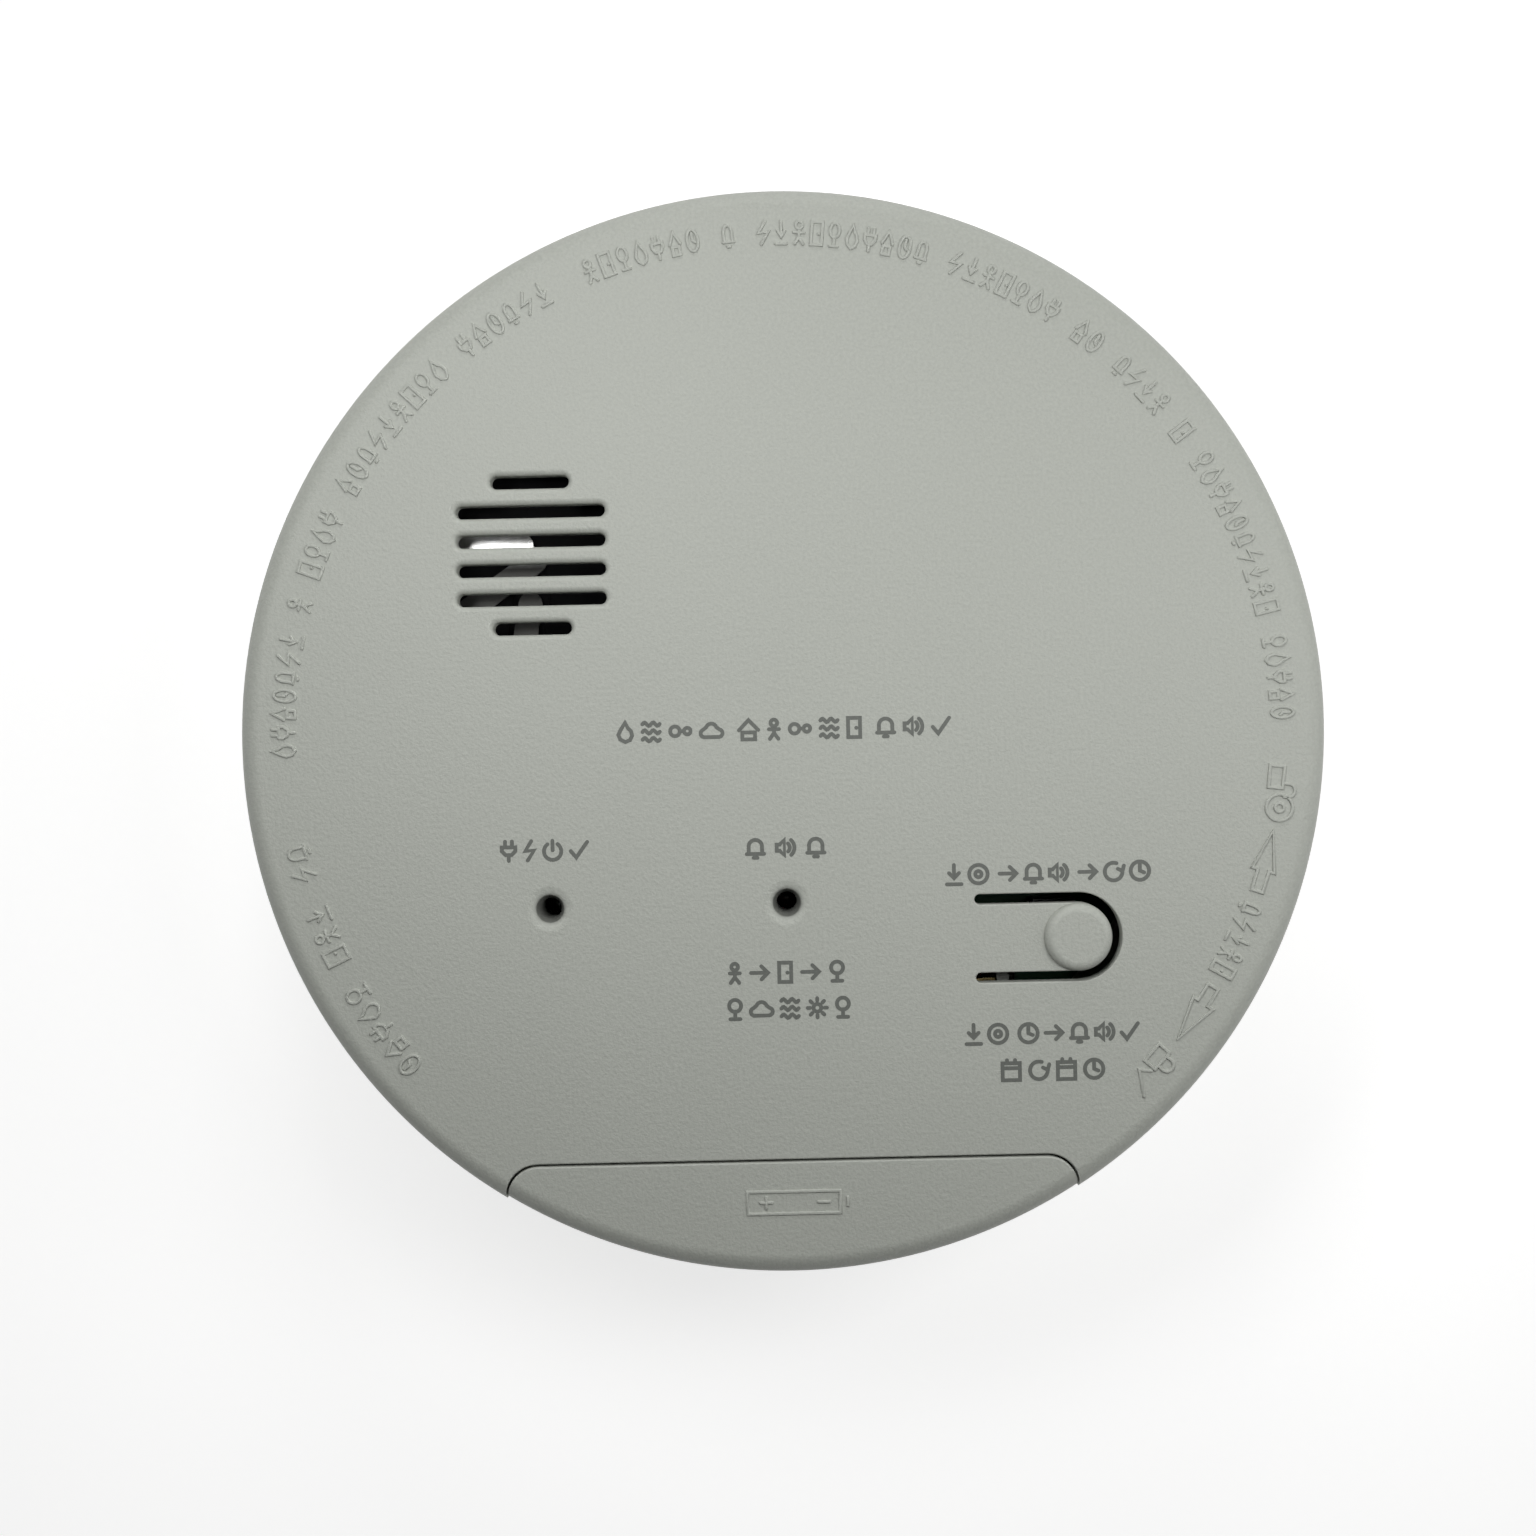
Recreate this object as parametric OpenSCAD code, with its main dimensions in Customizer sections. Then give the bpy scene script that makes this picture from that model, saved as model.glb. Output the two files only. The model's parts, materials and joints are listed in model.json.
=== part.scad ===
// Round carbon monoxide alarm, mains powered with a 9 V backup battery.
// Frame: +Z points out of the front face, +Y to the top of the face, and the
// origin is the centre of the bracket's back face, on the wall. The battery
// drawer opens towards -Y. All sizes are in millimetres.

/* [Housing] */
// Diameter of the flat front face, out to the rim fillet
face_d = 142; // [140:1:146]
// Diameter at the foot of the front cover's drafted side wall
foot_d = 144; // [144:1:148]
// Distance from the wall to the front face
total_depth = 42; // [42:0.5:46]
// Radius of the fillet round the front face
rim_fillet = 2.8; // [2:0.2:3.6]
// Wall thickness of the moulded shells
wall = 2.2; // [2:0.1:2.4]

/* [Horn slots] */
// Number of slots in the group
horn_slots = 6; // [4:2:6]
// Distance between neighbouring slots
slot_pitch = 3.81; // [3.6:0.05:4]
// Length of the long slots
slot_long = 19.4; // [18:0.1:21]
// Length of the first and the last slot
slot_short = 10.2; // [9:0.1:12]
// Width of a slot
slot_w = 1.65; // [1.4:0.05:2]

/* [Test button] */
// Radius of the round end of the button's tongue
pad_r = 4.44; // [4:0.05:4.8]
// Width of the gap round the tongue
button_gap = 1.32; // [1:0.05:1.5]
// Length of the straight sides of the tongue
tongue_len = 12.7; // [11:0.1:14]

/* [Battery drawer] */
// Width of the drawer's front
drawer_w = 74.6; // [70:0.2:76]
// Distance from the centre of the face to the drawer's straight edge
drawer_y = 55.7; // [55.4:0.1:56]
// Radius of the drawer's upper corners
drawer_corner = 4.2; // [3.6:0.1:5]
// Gap round the drawer's front
drawer_gap = 0.3; // [0.3:0.05:0.4]

/* [Mounting bracket] */
// Spacing of the slots that take the electrical box screws
box_screw_spacing = 79.4; // [78:0.1:81]
// End-to-end length of a box screw slot
box_slot_len = 14; // [12:0.5:15]
// Width of a box screw slot
box_slot_w = 4.5; // [4.2:0.1:4.8]
// Spacing of the two wall screw holes
wall_screw_spacing = 80; // [78:0.5:82]
// Diameter of a wall screw hole
wall_screw_d = 4.6; // [4:0.1:5]

/* [Hidden] */
$fn = 96;

// Heights above the wall
z_face = total_depth;
z_skin = z_face - wall;          // inner side of the face
z_base_rim = 3.2;                // rear edge of the base's skirt
z_floor = 8.5;                   // rear side of the base's floor
z_floor_top = 10.5;
z_shoulder = 10;                 // seat of the front cover on the base
z_notch = 13;                    // lower edge of the drawer's opening
z_board = 16;
board_t = 1.6;
z_board_top = z_board + board_t;
z_lead_end = 14.8;               // soldered ends under the board

// Radii of the housing
r_face = face_d / 2;
r_foot = foot_d / 2;
r_skirt = 70.6;
r_lip = 69.4;

// Twist mount
bracket_t = 2.2;
r_bracket = 62;
r_bracket_bore = 30;
r_collar = 52;
r_bracket_lug = 55.9;
r_base_lug = 52.6;
r_base_ring = 56.5;
lug_angles = [90, 210, 330];
lug_span = 15;

// Places on the face, as [x, y]
horn_at = [-32.3, 23.7];
power_led_at = [-30.8, -22.35];
alarm_led_at = [0, -22.2];
button_at = [37.75, -27.4];

// Screws
pillar_r = 62.6;
pillar_angles = [28, 152, 208, 332];
board_screw_at = [[-48, -8], [49, 3], [0, 50.5]];

// Battery, a 6LR61 block lying along X with its snaps towards +X
cell_l = 46.4;
cell_w = 26.2;
cell_t = 17.2;
cell_x = -25.2;                  // rear end of the case
cell_y = -43.05;                 // middle of the case
cell_z = 18.6;                   // underside of the case
snap_offset = 6.35;              // each snap from the middle
plate_t = 0.8;                   // thickness of the battery's top plate
snap_h = 1.6;
tray_z = 17;
tray_t = 1.5;
tray_y_in = -28.5;               // inner edge of the drawer's tray
tray_x = [-28.3, 24];
drawer_travel = 30;
hook_half = 10;                  // half width of the hook under the tray
hook_t = 2;
ledge_x = [-33, 33];             // ledge on the cover behind the drawer's gap
ledge_y = [-57.5, -53];
ledge_z = [38, 39.4];
contact_x = 24.5;                // face of the battery contacts
contact_wall_x = 28;
leaf_t = 0.4;

// Horn
horn_r = 17.2;
disc_r = 16;
z_disc = 34;

// Test switch
switch_size = 6;
z_switch_top = 21.2;
plunger_r = 1.75;
z_plunger_top = 27.6;
z_stem_end = 28.35;

// Carbon monoxide cell
sensor_at = [30, 26];
sensor_r = 9.8;
sensor_pin_r = 6;

// Power inlet
inlet_at = [0, 8];
inlet_size = [24, 12];
inlet_pitch = 6;

// Lit ends of the indicators, and the wells they shine through
lamp_tube_end = 31.5;
z_led_dome = 32;
led_r = 1.5;
led_pitch = 1.27;                // each lead from the middle

// Board parts, as [x, y] of their middles
film_cap_at = [3, 40];
varistor_at = [19, 7];
fuse_at = [-13, 3];
diode_at = [[-9, -8], [-4, -8], [1, -8], [6, -8]];
big_cap_at = [14.5, -9];
small_cap_at = [[24, -4], [24.5, -12]];
coil_at = [-17, -17];
controller_at = [-34, -6];
amplifier_at = [44, 14];
wire_at = [[31, -23], [28, -23]];

// Colours
housing_grey = [0.70, 0.71, 0.68];
bracket_grey = [0.66, 0.67, 0.65];
board_green = [0.12, 0.36, 0.20];
steel = [0.75, 0.76, 0.77];
brass = [0.78, 0.66, 0.36];
black = [0.10, 0.10, 0.11];

// ---- Shared shapes ----

module block(x, y, z)
    translate([x[0], y[0], z[0]])
        cube([x[1] - x[0], y[1] - y[0], z[1] - z[0]]);

module disc(at, r, z)
    translate([at[0], at[1], z[0]])
        cylinder(r = r, h = z[1] - z[0]);

module tube(at, r_out, r_in, z)
    difference() {
        disc(at, r_out, z);
        disc(at, r_in, [z[0] - 1, z[1] + 1]);
    }

module sector(r, span, middle, z)
    rotate([0, 0, middle - span / 2])
        rotate_extrude(angle = span)
            translate([r[0], z[0]])
                square([r[1] - r[0], z[1] - z[0]]);

// A flat bar with round ends, along X
module stadium(length, width, z) {
    run = (length - width) / 2;
    block([-run, run], [-width / 2, width / 2], z);
    for (side = [-1, 1])
        disc([side * run, 0], width / 2, z);
}

// A rod through a list of points
module rod(points, r) {
    for (i = [0:len(points) - 2]) {
        step = points[i + 1] - points[i];
        translate(points[i])
            rotate([0, acos(step[2] / norm(step)), atan2(step[1], step[0])])
                cylinder(r = r, h = norm(step), $fn = 24);
    }
    for (i = [1:1:len(points) - 2])
        translate(points[i])
            sphere(r = r, $fn = 24);
}

// Half of the section of a gap whose edges are rounded off by a small radius.
// Y = 0 is the surface that the gap is cut into.
module half_gap(width, edge, depth)
    difference() {
        translate([0, -depth])
            square([width / 2 + edge, depth + 2]);
        translate([width / 2, -depth - 1])
            square([edge + 1, depth + 1 - edge]);
        translate([width / 2 + edge, -edge])
            circle(edge, $fn = 32);
    }

module gap(width, edge, depth) {
    half_gap(width, edge, depth);
    mirror([1, 0])
        half_gap(width, edge, depth);
}

// A straight gap from the origin along +X
module gap_run(length, width, edge, depth)
    rotate([90, 0, 90])
        linear_extrude(length)
            gap(width, edge, depth);

// A gap along an arc round the origin
module gap_arc(r, start, span, width, edge, depth)
    rotate([0, 0, start])
        rotate_extrude(angle = span)
            translate([r, 0])
                gap(width, edge, depth);

// A round hole, or the round end of a gap
module gap_end(width, edge, depth)
    rotate_extrude()
        half_gap(width, edge, depth);

module gap_slot(length, width, edge, depth) {
    run = (length - width) / 2;
    translate([-run, 0, 0])
        gap_run(2 * run, width, edge, depth);
    for (side = [-1, 1])
        translate([side * run, 0, 0])
            gap_end(width, edge, depth);
}

// ---- Outer form of the alarm ----

// The drafted round body with its rim fillet, drawn in by inset
module body_form(inset)
    rotate_extrude($fn = 180) {
        polygon([
            [0, z_shoulder], [r_foot - inset, z_shoulder],
            [r_face - inset, z_face - rim_fillet], [0, z_face - rim_fillet]
        ]);
        translate([0, z_face - rim_fillet - 0.1])
            square([r_face - rim_fillet - inset, rim_fillet + 0.1]);
        translate([r_face - rim_fillet - inset, z_face - rim_fillet])
            circle(rim_fillet);
    }

module body_shell(inset)
    difference() {
        body_form(inset);
        translate([0, 0, -wall])
            body_form(wall);
    }

// Everything inside the outline of the drawer's front, above z_low
module drawer_zone(z_low) {
    half = drawer_w / 2;
    top = -drawer_y;
    z = [z_low, z_face + 1];
    block([-half, half], [-90, top - drawer_corner], z);
    block([drawer_corner - half, half - drawer_corner], [-90, top], z);
    for (side = [-1, 1])
        disc([side * (half - drawer_corner), top - drawer_corner], drawer_corner, z);
}

// The gap that parts the drawer's front from the cover
module drawer_gap_cut() {
    half = drawer_w / 2;
    run = half - drawer_corner;
    depth = z_face - z_notch + 1;
    edge = 0.25;
    corner_y = -drawer_y - drawer_corner;
    translate([0, 0, z_face]) {
        translate([-run, -drawer_y, 0])
            gap_run(2 * run, drawer_gap, edge, depth);
        for (side = [0, 1])
            mirror([side, 0, 0]) {
                translate([run, corner_y, 0])
                    gap_arc(drawer_corner, 0, 90, drawer_gap, edge, depth);
                translate([half, corner_y, 0])
                    rotate([0, 0, -90])
                        gap_run(20, drawer_gap, edge, depth);
            }
    }
}

// The gap round three sides of the button's tongue
module button_gap_cut() {
    r = pad_r + button_gap / 2;
    edge = 0.2;
    depth = wall + 1;
    translate([button_at[0], button_at[1], z_face]) {
        gap_arc(r, -90, 180, button_gap, edge, depth);
        for (side = [-1, 1])
            translate([-tongue_len, side * r, 0]) {
                gap_run(tongue_len, button_gap, edge, depth);
                gap_end(button_gap, edge, depth);
            }
    }
}

// The area of the tongue, out to the middle of its gap
module button_zone(z) {
    r = pad_r + button_gap / 2;
    disc(button_at, r, z);
    block([button_at[0] - tongue_len, button_at[0]],
          [button_at[1] - r, button_at[1] + r], z);
}

// ---- Mounting bracket ----

module mounting_bracket() {
    rim_h = 3.4;
    rib_h = 4.2;
    collar_t = 2;
    z_lug = [5.6, 7.4];
    color(bracket_grey)
        difference() {
            union() {
                tube([0, 0], r_bracket, r_bracket_bore, [0, bracket_t]);
                tube([0, 0], r_bracket, r_bracket - 2, [0, rim_h]);
                tube([0, 0], r_bracket_bore + 1.8, r_bracket_bore, [0, rib_h]);
                tube([0, 0], r_collar, r_collar - collar_t, [0, z_lug[1]]);
                for (a = lug_angles)
                    sector([r_collar - 1, r_bracket_lug], lug_span, a, z_lug);
                for (a = [30:30:330])
                    if (a % 90 != 0)
                        rotate([0, 0, a])
                            block([r_bracket_bore + 1, r_collar - 1], [-0.8, 0.8],
                                  [0, rib_h]);
            }
            for (side = [-1, 1]) {
                translate([side * box_screw_spacing / 2, 0, 0])
                    stadium(box_slot_len, box_slot_w, [-1, bracket_t + 1]);
                disc([0, side * wall_screw_spacing / 2], wall_screw_d / 2,
                     [-1, bracket_t + 1]);
            }
            // Sight windows behind the lugs, which also let the mould close
            for (a = lug_angles)
                sector([r_collar + 0.3, r_bracket_lug + 0.3], lug_span, a, [-1, bracket_t + 1]);
        }
}

// ---- Rear base: one moulding, kept as floor, skirt and twist ring ----

module twist_ring() {
    z_lug = 5.2;
    stop_span = 3;
    lock_play = 0.3;             // degrees between lug and stop when locked
    color(housing_grey) {
        tube([0, 0], r_base_ring + 2, r_base_ring, [z_base_rim, z_floor]);
        for (a = lug_angles) {
            sector([r_base_lug, r_base_ring + 1], lug_span, a, [z_base_rim, z_lug]);
            sector([r_base_lug, r_base_ring + 1], stop_span,
                   a + lug_span / 2 + lock_play + stop_span / 2, [z_base_rim, z_floor]);
        }
    }
}

module base_skirt() {
    chamfer = 0.7;
    z_lip = 14;
    z_lip_low = 12.5;            // lip height under the drawer
    color(housing_grey)
        difference() {
            rotate_extrude($fn = 180)
                polygon([
                    [r_lip - wall, z_floor], [r_skirt - wall, z_floor],
                    [r_skirt - wall, z_base_rim], [r_skirt - chamfer, z_base_rim],
                    [r_skirt, z_base_rim + chamfer], [r_skirt, z_shoulder],
                    [r_lip, z_shoulder], [r_lip, z_lip], [r_lip - wall, z_lip]
                ]);
            block([-40, 40], [-80, -50], [z_lip_low, z_lip + 1]);
        }
}

module tray_guides() {
    y = [-62, -31];
    rib_t = 1.6;
    play = 0.3;
    z_flange = tray_z + tray_t + play;
    z_guide = 20.2;
    stop_y = tray_y_in - hook_t - drawer_travel - 0.4;
    // Two runners under the tray
    for (x = [tray_x[0] + 1.9, tray_x[1] - 2.2])
        block([x, x + rib_t], y, [z_floor, tray_z - 0.1]);
    // The left guide holds the tray's flange down, the right one guides its edge
    block([tray_x[0] - play - rib_t, tray_x[0] - play], y, [z_floor, z_guide]);
    block([tray_x[0] - play - 0.1, tray_x[0] + 1], y, [z_flange, z_guide]);
    block([tray_x[1] + play, tray_x[1] + play + rib_t], y, [z_floor, tray_z + 1.2]);
    // Stop for the tray's hook
    block([-hook_half, hook_half], [stop_y - rib_t, stop_y], [z_floor, tray_z - 0.4]);
    // Wall that carries the battery contacts
    block([contact_wall_x, contact_wall_x + rib_t], [-54, -32], [z_floor, 34]);
}

module rear_base() {
    boss_r = 3.75;
    z_boss = 12;
    standoff_r = 3;
    counterbore_r = 3;
    counterbore_z = 10.3;
    play = 0.2;
    r_floor = r_lip - wall;
    color(housing_grey)
        difference() {
            union() {
                disc([0, 0], r_floor, [z_floor, z_floor_top], $fn = 180);
                for (a = pillar_angles)
                    disc(pillar_r * [cos(a), sin(a)], boss_r, [z_floor, z_boss]);
                for (p = board_screw_at)
                    disc(p, standoff_r, [z_floor, z_board]);
                intersection() {
                    tray_guides();
                    disc([0, 0], r_floor - play, [z_floor, z_face]);
                }
            }
            for (a = pillar_angles) {
                at = pillar_r * [cos(a), sin(a)];
                disc(at, counterbore_r, [z_floor - 1, counterbore_z]);
                disc(at, 1.7, [z_floor, z_boss + 1]);
            }
            for (p = board_screw_at)
                disc(p, 1.25, [z_floor_top, z_board + 1]);
            block([-inlet_size[0] / 2 - play, inlet_size[0] / 2 + play],
                  [inlet_at[1] - inlet_size[1] / 2 - play, inlet_at[1] + inlet_size[1] / 2 + play],
                  [z_floor - 1, z_floor_top + 1]);
        }
}

module rating_label()
    color([0.88, 0.88, 0.85])
        translate([0, -34, 0])
            block([-22, 22], [-11, 11], [z_floor - 0.12, z_floor]);

// ---- Front cover ----

module side_vents() {
    vent_w = 2;
    vent_z = [17, 31];
    pitch = 3.6;                 // degrees
    for (group = [0, 90, 180], i = [-3:3])
        rotate([0, 0, group + i * pitch]) {
            block([r_face - 6, r_foot + 2], [-vent_w / 2, vent_w / 2],
                  [vent_z[0] + vent_w / 2, vent_z[1] - vent_w / 2]);
            for (z = [vent_z[0] + vent_w / 2, vent_z[1] - vent_w / 2])
                translate([r_face - 6, 0, z])
                    rotate([0, 90, 0])
                        cylinder(d = vent_w, h = 10, $fn = 32);
        }
}

module horn_slot_cuts() {
    lip = 0.6;                   // radius of each slot's mouth
    for (i = [0:horn_slots - 1]) {
        outer = i == 0 || i == horn_slots - 1;
        y = (i - (horn_slots - 1) / 2) * slot_pitch;
        translate([horn_at[0], horn_at[1] + y, z_face])
            gap_slot(outer ? slot_short : slot_long, slot_w, lip, wall + 1);
    }
}

// Cuts a lamp well from the face's level down: a shallow dish, a cone, a throat
// and the room round the lamp
module lamp_well() {
    dish_r = 2.9;
    dish = 0.3;
    mouth_r = 1.8;
    cone_end = 1.7;
    throat_r = 1.35;
    throat_end = 6.5;
    room_r = led_r + 0.25;
    room_end = z_face - lamp_tube_end + 1;
    rotate_extrude()
        polygon([
            [0, 1], [dish_r, 1], [dish_r, 0], [mouth_r, -dish],
            [throat_r, -cone_end], [throat_r, -throat_end],
            [room_r, -throat_end], [room_r, -room_end], [0, -room_end]
        ]);
}

module front_cover() {
    lamp_tube_r = 3.2;
    pillar_hole = 10;
    color(housing_grey)
        difference() {
            union() {
                body_shell(0);
                for (at = [power_led_at, alarm_led_at])
                    disc(at, lamp_tube_r, [lamp_tube_end, z_skin + 0.5]);
                for (a = pillar_angles)
                    disc(pillar_r * [cos(a), sin(a)], 3.25, [12, z_skin + 0.5]);
                tube(horn_at, horn_r, horn_r - 1.6, [36.2, z_skin + 0.5]);
                // Ledge behind the drawer's gap, joined to the face inside it
                block(ledge_x, ledge_y, ledge_z);
                block(ledge_x, [drawer_gap / 2 + 0.35 - drawer_y, ledge_y[1]],
                      [ledge_z[0], z_skin + 0.5]);
            }
            horn_slot_cuts();
            for (at = [power_led_at, alarm_led_at])
                translate([at[0], at[1], z_face])
                    lamp_well();
            for (a = pillar_angles)
                disc(pillar_r * [cos(a), sin(a)], 1.55, [11, 12 + pillar_hole]);
            side_vents();
            button_zone([z_skin - 1, z_face + 1]);
            button_gap_cut();
            // The drawer's opening and its gap, but for the ledge
            difference() {
                union() {
                    drawer_zone(z_notch);
                    drawer_gap_cut();
                }
                block(ledge_x, ledge_y, [ledge_z[0] - 0.1, ledge_z[1]]);
            }
        }
}

module cover_screws() {
    head_r = 2.75;
    head_z = [8.7, 10.3];
    color(steel)
        for (a = pillar_angles) {
            at = pillar_r * [cos(a), sin(a)];
            difference() {
                union() {
                    disc(at, head_r, head_z);
                    disc(at, 1.5, [head_z[1] - 0.1, 20]);
                }
                cross_recess(at, head_z[0]);
            }
        }
}

// Cross-shaped drive in a screw head that faces the wall
module cross_recess(at, z)
    for (turn = [0, 90])
        translate([at[0], at[1], 0])
            rotate([0, 0, turn])
                block([-1.6, 1.6], [-0.35, 0.35], [z - 1, z + 0.9]);

// ---- Test button and its switch ----

module test_button() {
    tongue_t = 1.8;
    pad_h = 1.2;
    pad_sunk = 0.3;
    shoulder_r = 1.2;            // radius of the pad's rounded edge
    stem_r = 2.2;
    z_stem = 30;
    color(housing_grey) {
        difference() {
            button_zone([z_face - tongue_t, z_face]);
            button_gap_cut();
        }
        translate([button_at[0], button_at[1], z_face - pad_sunk])
            rotate_extrude()
                intersection() {
                    square([pad_r, pad_h + pad_sunk]);
                    union() {
                        square([pad_r - shoulder_r, pad_h + pad_sunk]);
                        translate([pad_r - shoulder_r, pad_h + pad_sunk - shoulder_r])
                            circle(shoulder_r);
                    }
                }
        disc(button_at, stem_r, [z_stem, z_face - 1]);
        disc(button_at, 1.2, [z_stem_end, z_stem + 0.1]);
    }
}

module switch_square(z)
    block([button_at[0] - switch_size / 2, button_at[0] + switch_size / 2],
          [button_at[1] - switch_size / 2, button_at[1] + switch_size / 2], z);

module test_switch_base()
    color(black)
        difference() {
            switch_square([z_board_top, z_switch_top]);
            disc(button_at, plunger_r + 0.15, [20, z_switch_top + 1]);
        }

module test_switch_cover()
    color(steel)
        difference() {
            switch_square([z_switch_top, z_switch_top + 0.3]);
            disc(button_at, plunger_r + 0.15, [z_switch_top - 1, z_switch_top + 1]);
        }

module test_switch_plunger()
    color(black)
        disc(button_at, plunger_r, [20.6, z_plunger_top]);

// ---- Battery drawer and battery ----

module battery_drawer() {
    play = 0.3;
    flange = 1.3;                // strip of the tray that runs under the guide
    brace_x = [-20, 18];
    brace_t = 1.6;
    scoop_r = 9;
    scoop_half = 20;
    scoop_depth = 1;
    z_scoop = 26;
    cell_side = [cell_y - cell_w / 2, cell_y + cell_w / 2];
    inner_x = [tray_x[0] + flange, tray_x[1]];
    color(housing_grey)
        difference() {
            union() {
                difference() {
                    intersection() {
                        body_shell(play);
                        drawer_zone(z_notch + play);
                    }
                    drawer_gap_cut();
                }
                // Tray floor and the two ribs that brace the front
                intersection() {
                    union() {
                        block(tray_x, [-80, tray_y_in], [tray_z, tray_z + tray_t]);
                        for (x = brace_x)
                            block([x, x + brace_t], [-80, cell_side[0] - 0.1], [tray_z, 32]);
                    }
                    disc([0, 0], r_face - 1, [0, z_face]);
                }
                // Wall behind the battery's foot, and the one along its inner side
                block([inner_x[0], cell_x - 0.1], [cell_side[0], tray_y_in], [tray_z, 34]);
                block(inner_x, [cell_side[1] + 0.05, tray_y_in], [tray_z, 26]);
                // Shoulders at the snap end
                for (y = [[cell_side[0] - 0.9, cell_side[0] + 2.5], [-32, tray_y_in]])
                    block([cell_x + cell_l + plate_t + 0.1, inner_x[1]], y, [tray_z, 30]);
                // Hook that stops the drawer
                block([-hook_half, hook_half], [tray_y_in - hook_t, tray_y_in],
                      [14.6, tray_z + 0.5]);
            }
            // Finger scoop in the side wall
            translate([-scoop_half, scoop_depth - r_face - scoop_r, z_scoop])
                rotate([0, 90, 0])
                    cylinder(r = scoop_r, h = 2 * scoop_half);
        }
}

module battery_case()
    color([0.13, 0.13, 0.15])
        difference() {
            block([cell_x, cell_x + cell_l],
                  [cell_y - cell_w / 2, cell_y + cell_w / 2], [cell_z, cell_z + cell_t]);
            // The long edges of the steel case are rounded
            for (y = [-1, 1], z = [0, 1])
                translate([cell_x - 1, cell_y + y * cell_w / 2, cell_z + z * cell_t])
                    edge_round_cut(y, 1 - 2 * z, cell_l + 2, 1.6);
        }

// Removes the outer corner of a square edge along +X, leaving a quarter round
module edge_round_cut(side_y, side_z, length, r)
    rotate([90, 0, 90])
        linear_extrude(length)
            difference() {
                translate([side_y > 0 ? -r : -1, side_z > 0 ? -1 : -r])
                    square([r + 1, r + 1]);
                translate([-side_y * r, side_z * r])
                    circle(r, $fn = 48);
            }

module battery_top_plate() {
    inset = 0.5;
    x = cell_x + cell_l;
    color(black)
        block([x, x + plate_t], [cell_y - cell_w / 2 + 1.6, cell_y + cell_w / 2 - 1.6],
              [cell_z + inset, cell_z + cell_t - inset]);
}

module snap_frame(side)
    translate([cell_x + cell_l + plate_t, cell_y + side * snap_offset, cell_z + cell_t / 2])
        rotate([0, 90, 0])
            children();

module battery_positive_terminal()
    color(steel)
        snap_frame(1)
            difference() {
                union() {
                    cylinder(r = 2.9, h = snap_h);
                    cylinder(r = 3.9, h = 0.5);
                }
                translate([0, 0, 0.6])
                    cylinder(r = 2, h = snap_h);
            }

module battery_negative_terminal()
    color(steel)
        snap_frame(-1)
            difference() {
                cylinder(r = 4, h = snap_h, $fn = 6);
                translate([0, 0, 0.6])
                    cylinder(r = 2.7, h = snap_h, $fn = 48);
            }

// A folded leaf: the face towards the battery, the bridge and the rear leg
module battery_contact(side) {
    y = cell_y + side * snap_offset;
    z = [19.6, 33];
    half = 3;
    translate([0, y, 0]) {
        block([contact_x, contact_x + leaf_t], [-half, half], z);
        block([contact_x, contact_wall_x], [-half, half], [z[1], z[1] + leaf_t]);
        block([contact_wall_x - leaf_t, contact_wall_x], [-half, half],
              [14.5, z[1] + 0.1]);
    }
}

module battery_contact_positive()
    color(brass)
        battery_contact(1);

module battery_contact_negative()
    color(brass)
        battery_contact(-1);

// Insulated leads from the contacts to the board
module battery_wires() {
    wire_r = 0.7;
    x = contact_wall_x - 1.3;
    z_contact_end = 14.4;
    z_low = 11.4;
    color([0.65, 0.08, 0.08])
        for (i = [0, 1]) {
            z = z_low + (1 - i) * 1.6;
            start_y = cell_y + (1 - 2 * i) * snap_offset;
            turn_y = -27;
            rod([
                [x, start_y, z_contact_end], [x, start_y, z], [x, turn_y, z],
                [wire_at[i][0], turn_y, z], [wire_at[i][0], wire_at[i][1], z],
                [wire_at[i][0], wire_at[i][1], z_board]
            ], wire_r);
        }
}

// ---- Circuit board and the parts on it ----

// Pairs of leads: [x, y] of the part's middle, direction along X or Y, half pitch
function pair(at, along_x, half) =
    [for (side = [-1, 1]) at + side * half * (along_x ? [1, 0] : [0, 1])];
function flat(lists) = [for (l = lists) each l];
diode_half = 4.6;
diode_body_half = 2.6;
z_diode = z_board_top + 1.5;
fuse_body_half = 4.5;
z_fuse = z_board_top + 2.6;
varistor_lead = 6;
small_half = 1.25;
film_half = 11.25;
varistor_half = 3.75;
fuse_half = 6.5;
film_leads = pair(film_cap_at, true, film_half);
varistor_leads = pair(varistor_at, false, varistor_half);
fuse_leads = pair(fuse_at, false, fuse_half);
diode_leads = flat([for (p = diode_at) pair(p, false, diode_half)]);
can_leads = flat([for (p = concat([big_cap_at], small_cap_at)) pair(p, true, small_half)]);
coil_leads = pair(coil_at, true, 2.5);
switch_leads = [for (x = [-1, 1], y = [-1, 1]) button_at + [2.25 * x, 2.5 * y]];
chip_leads = [for (i = [0:7], side = [-1, 1])
    controller_at + [(i - 3.5) * 2.54, side * 3.81]];
led_lead_at = flat([for (p = [power_led_at, alarm_led_at]) pair(p, true, led_pitch)]);
sensor_lead_at = [for (a = [90, 210, 330]) sensor_at + sensor_pin_r * [cos(a), sin(a)]];
lead_r = 0.35;

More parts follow.
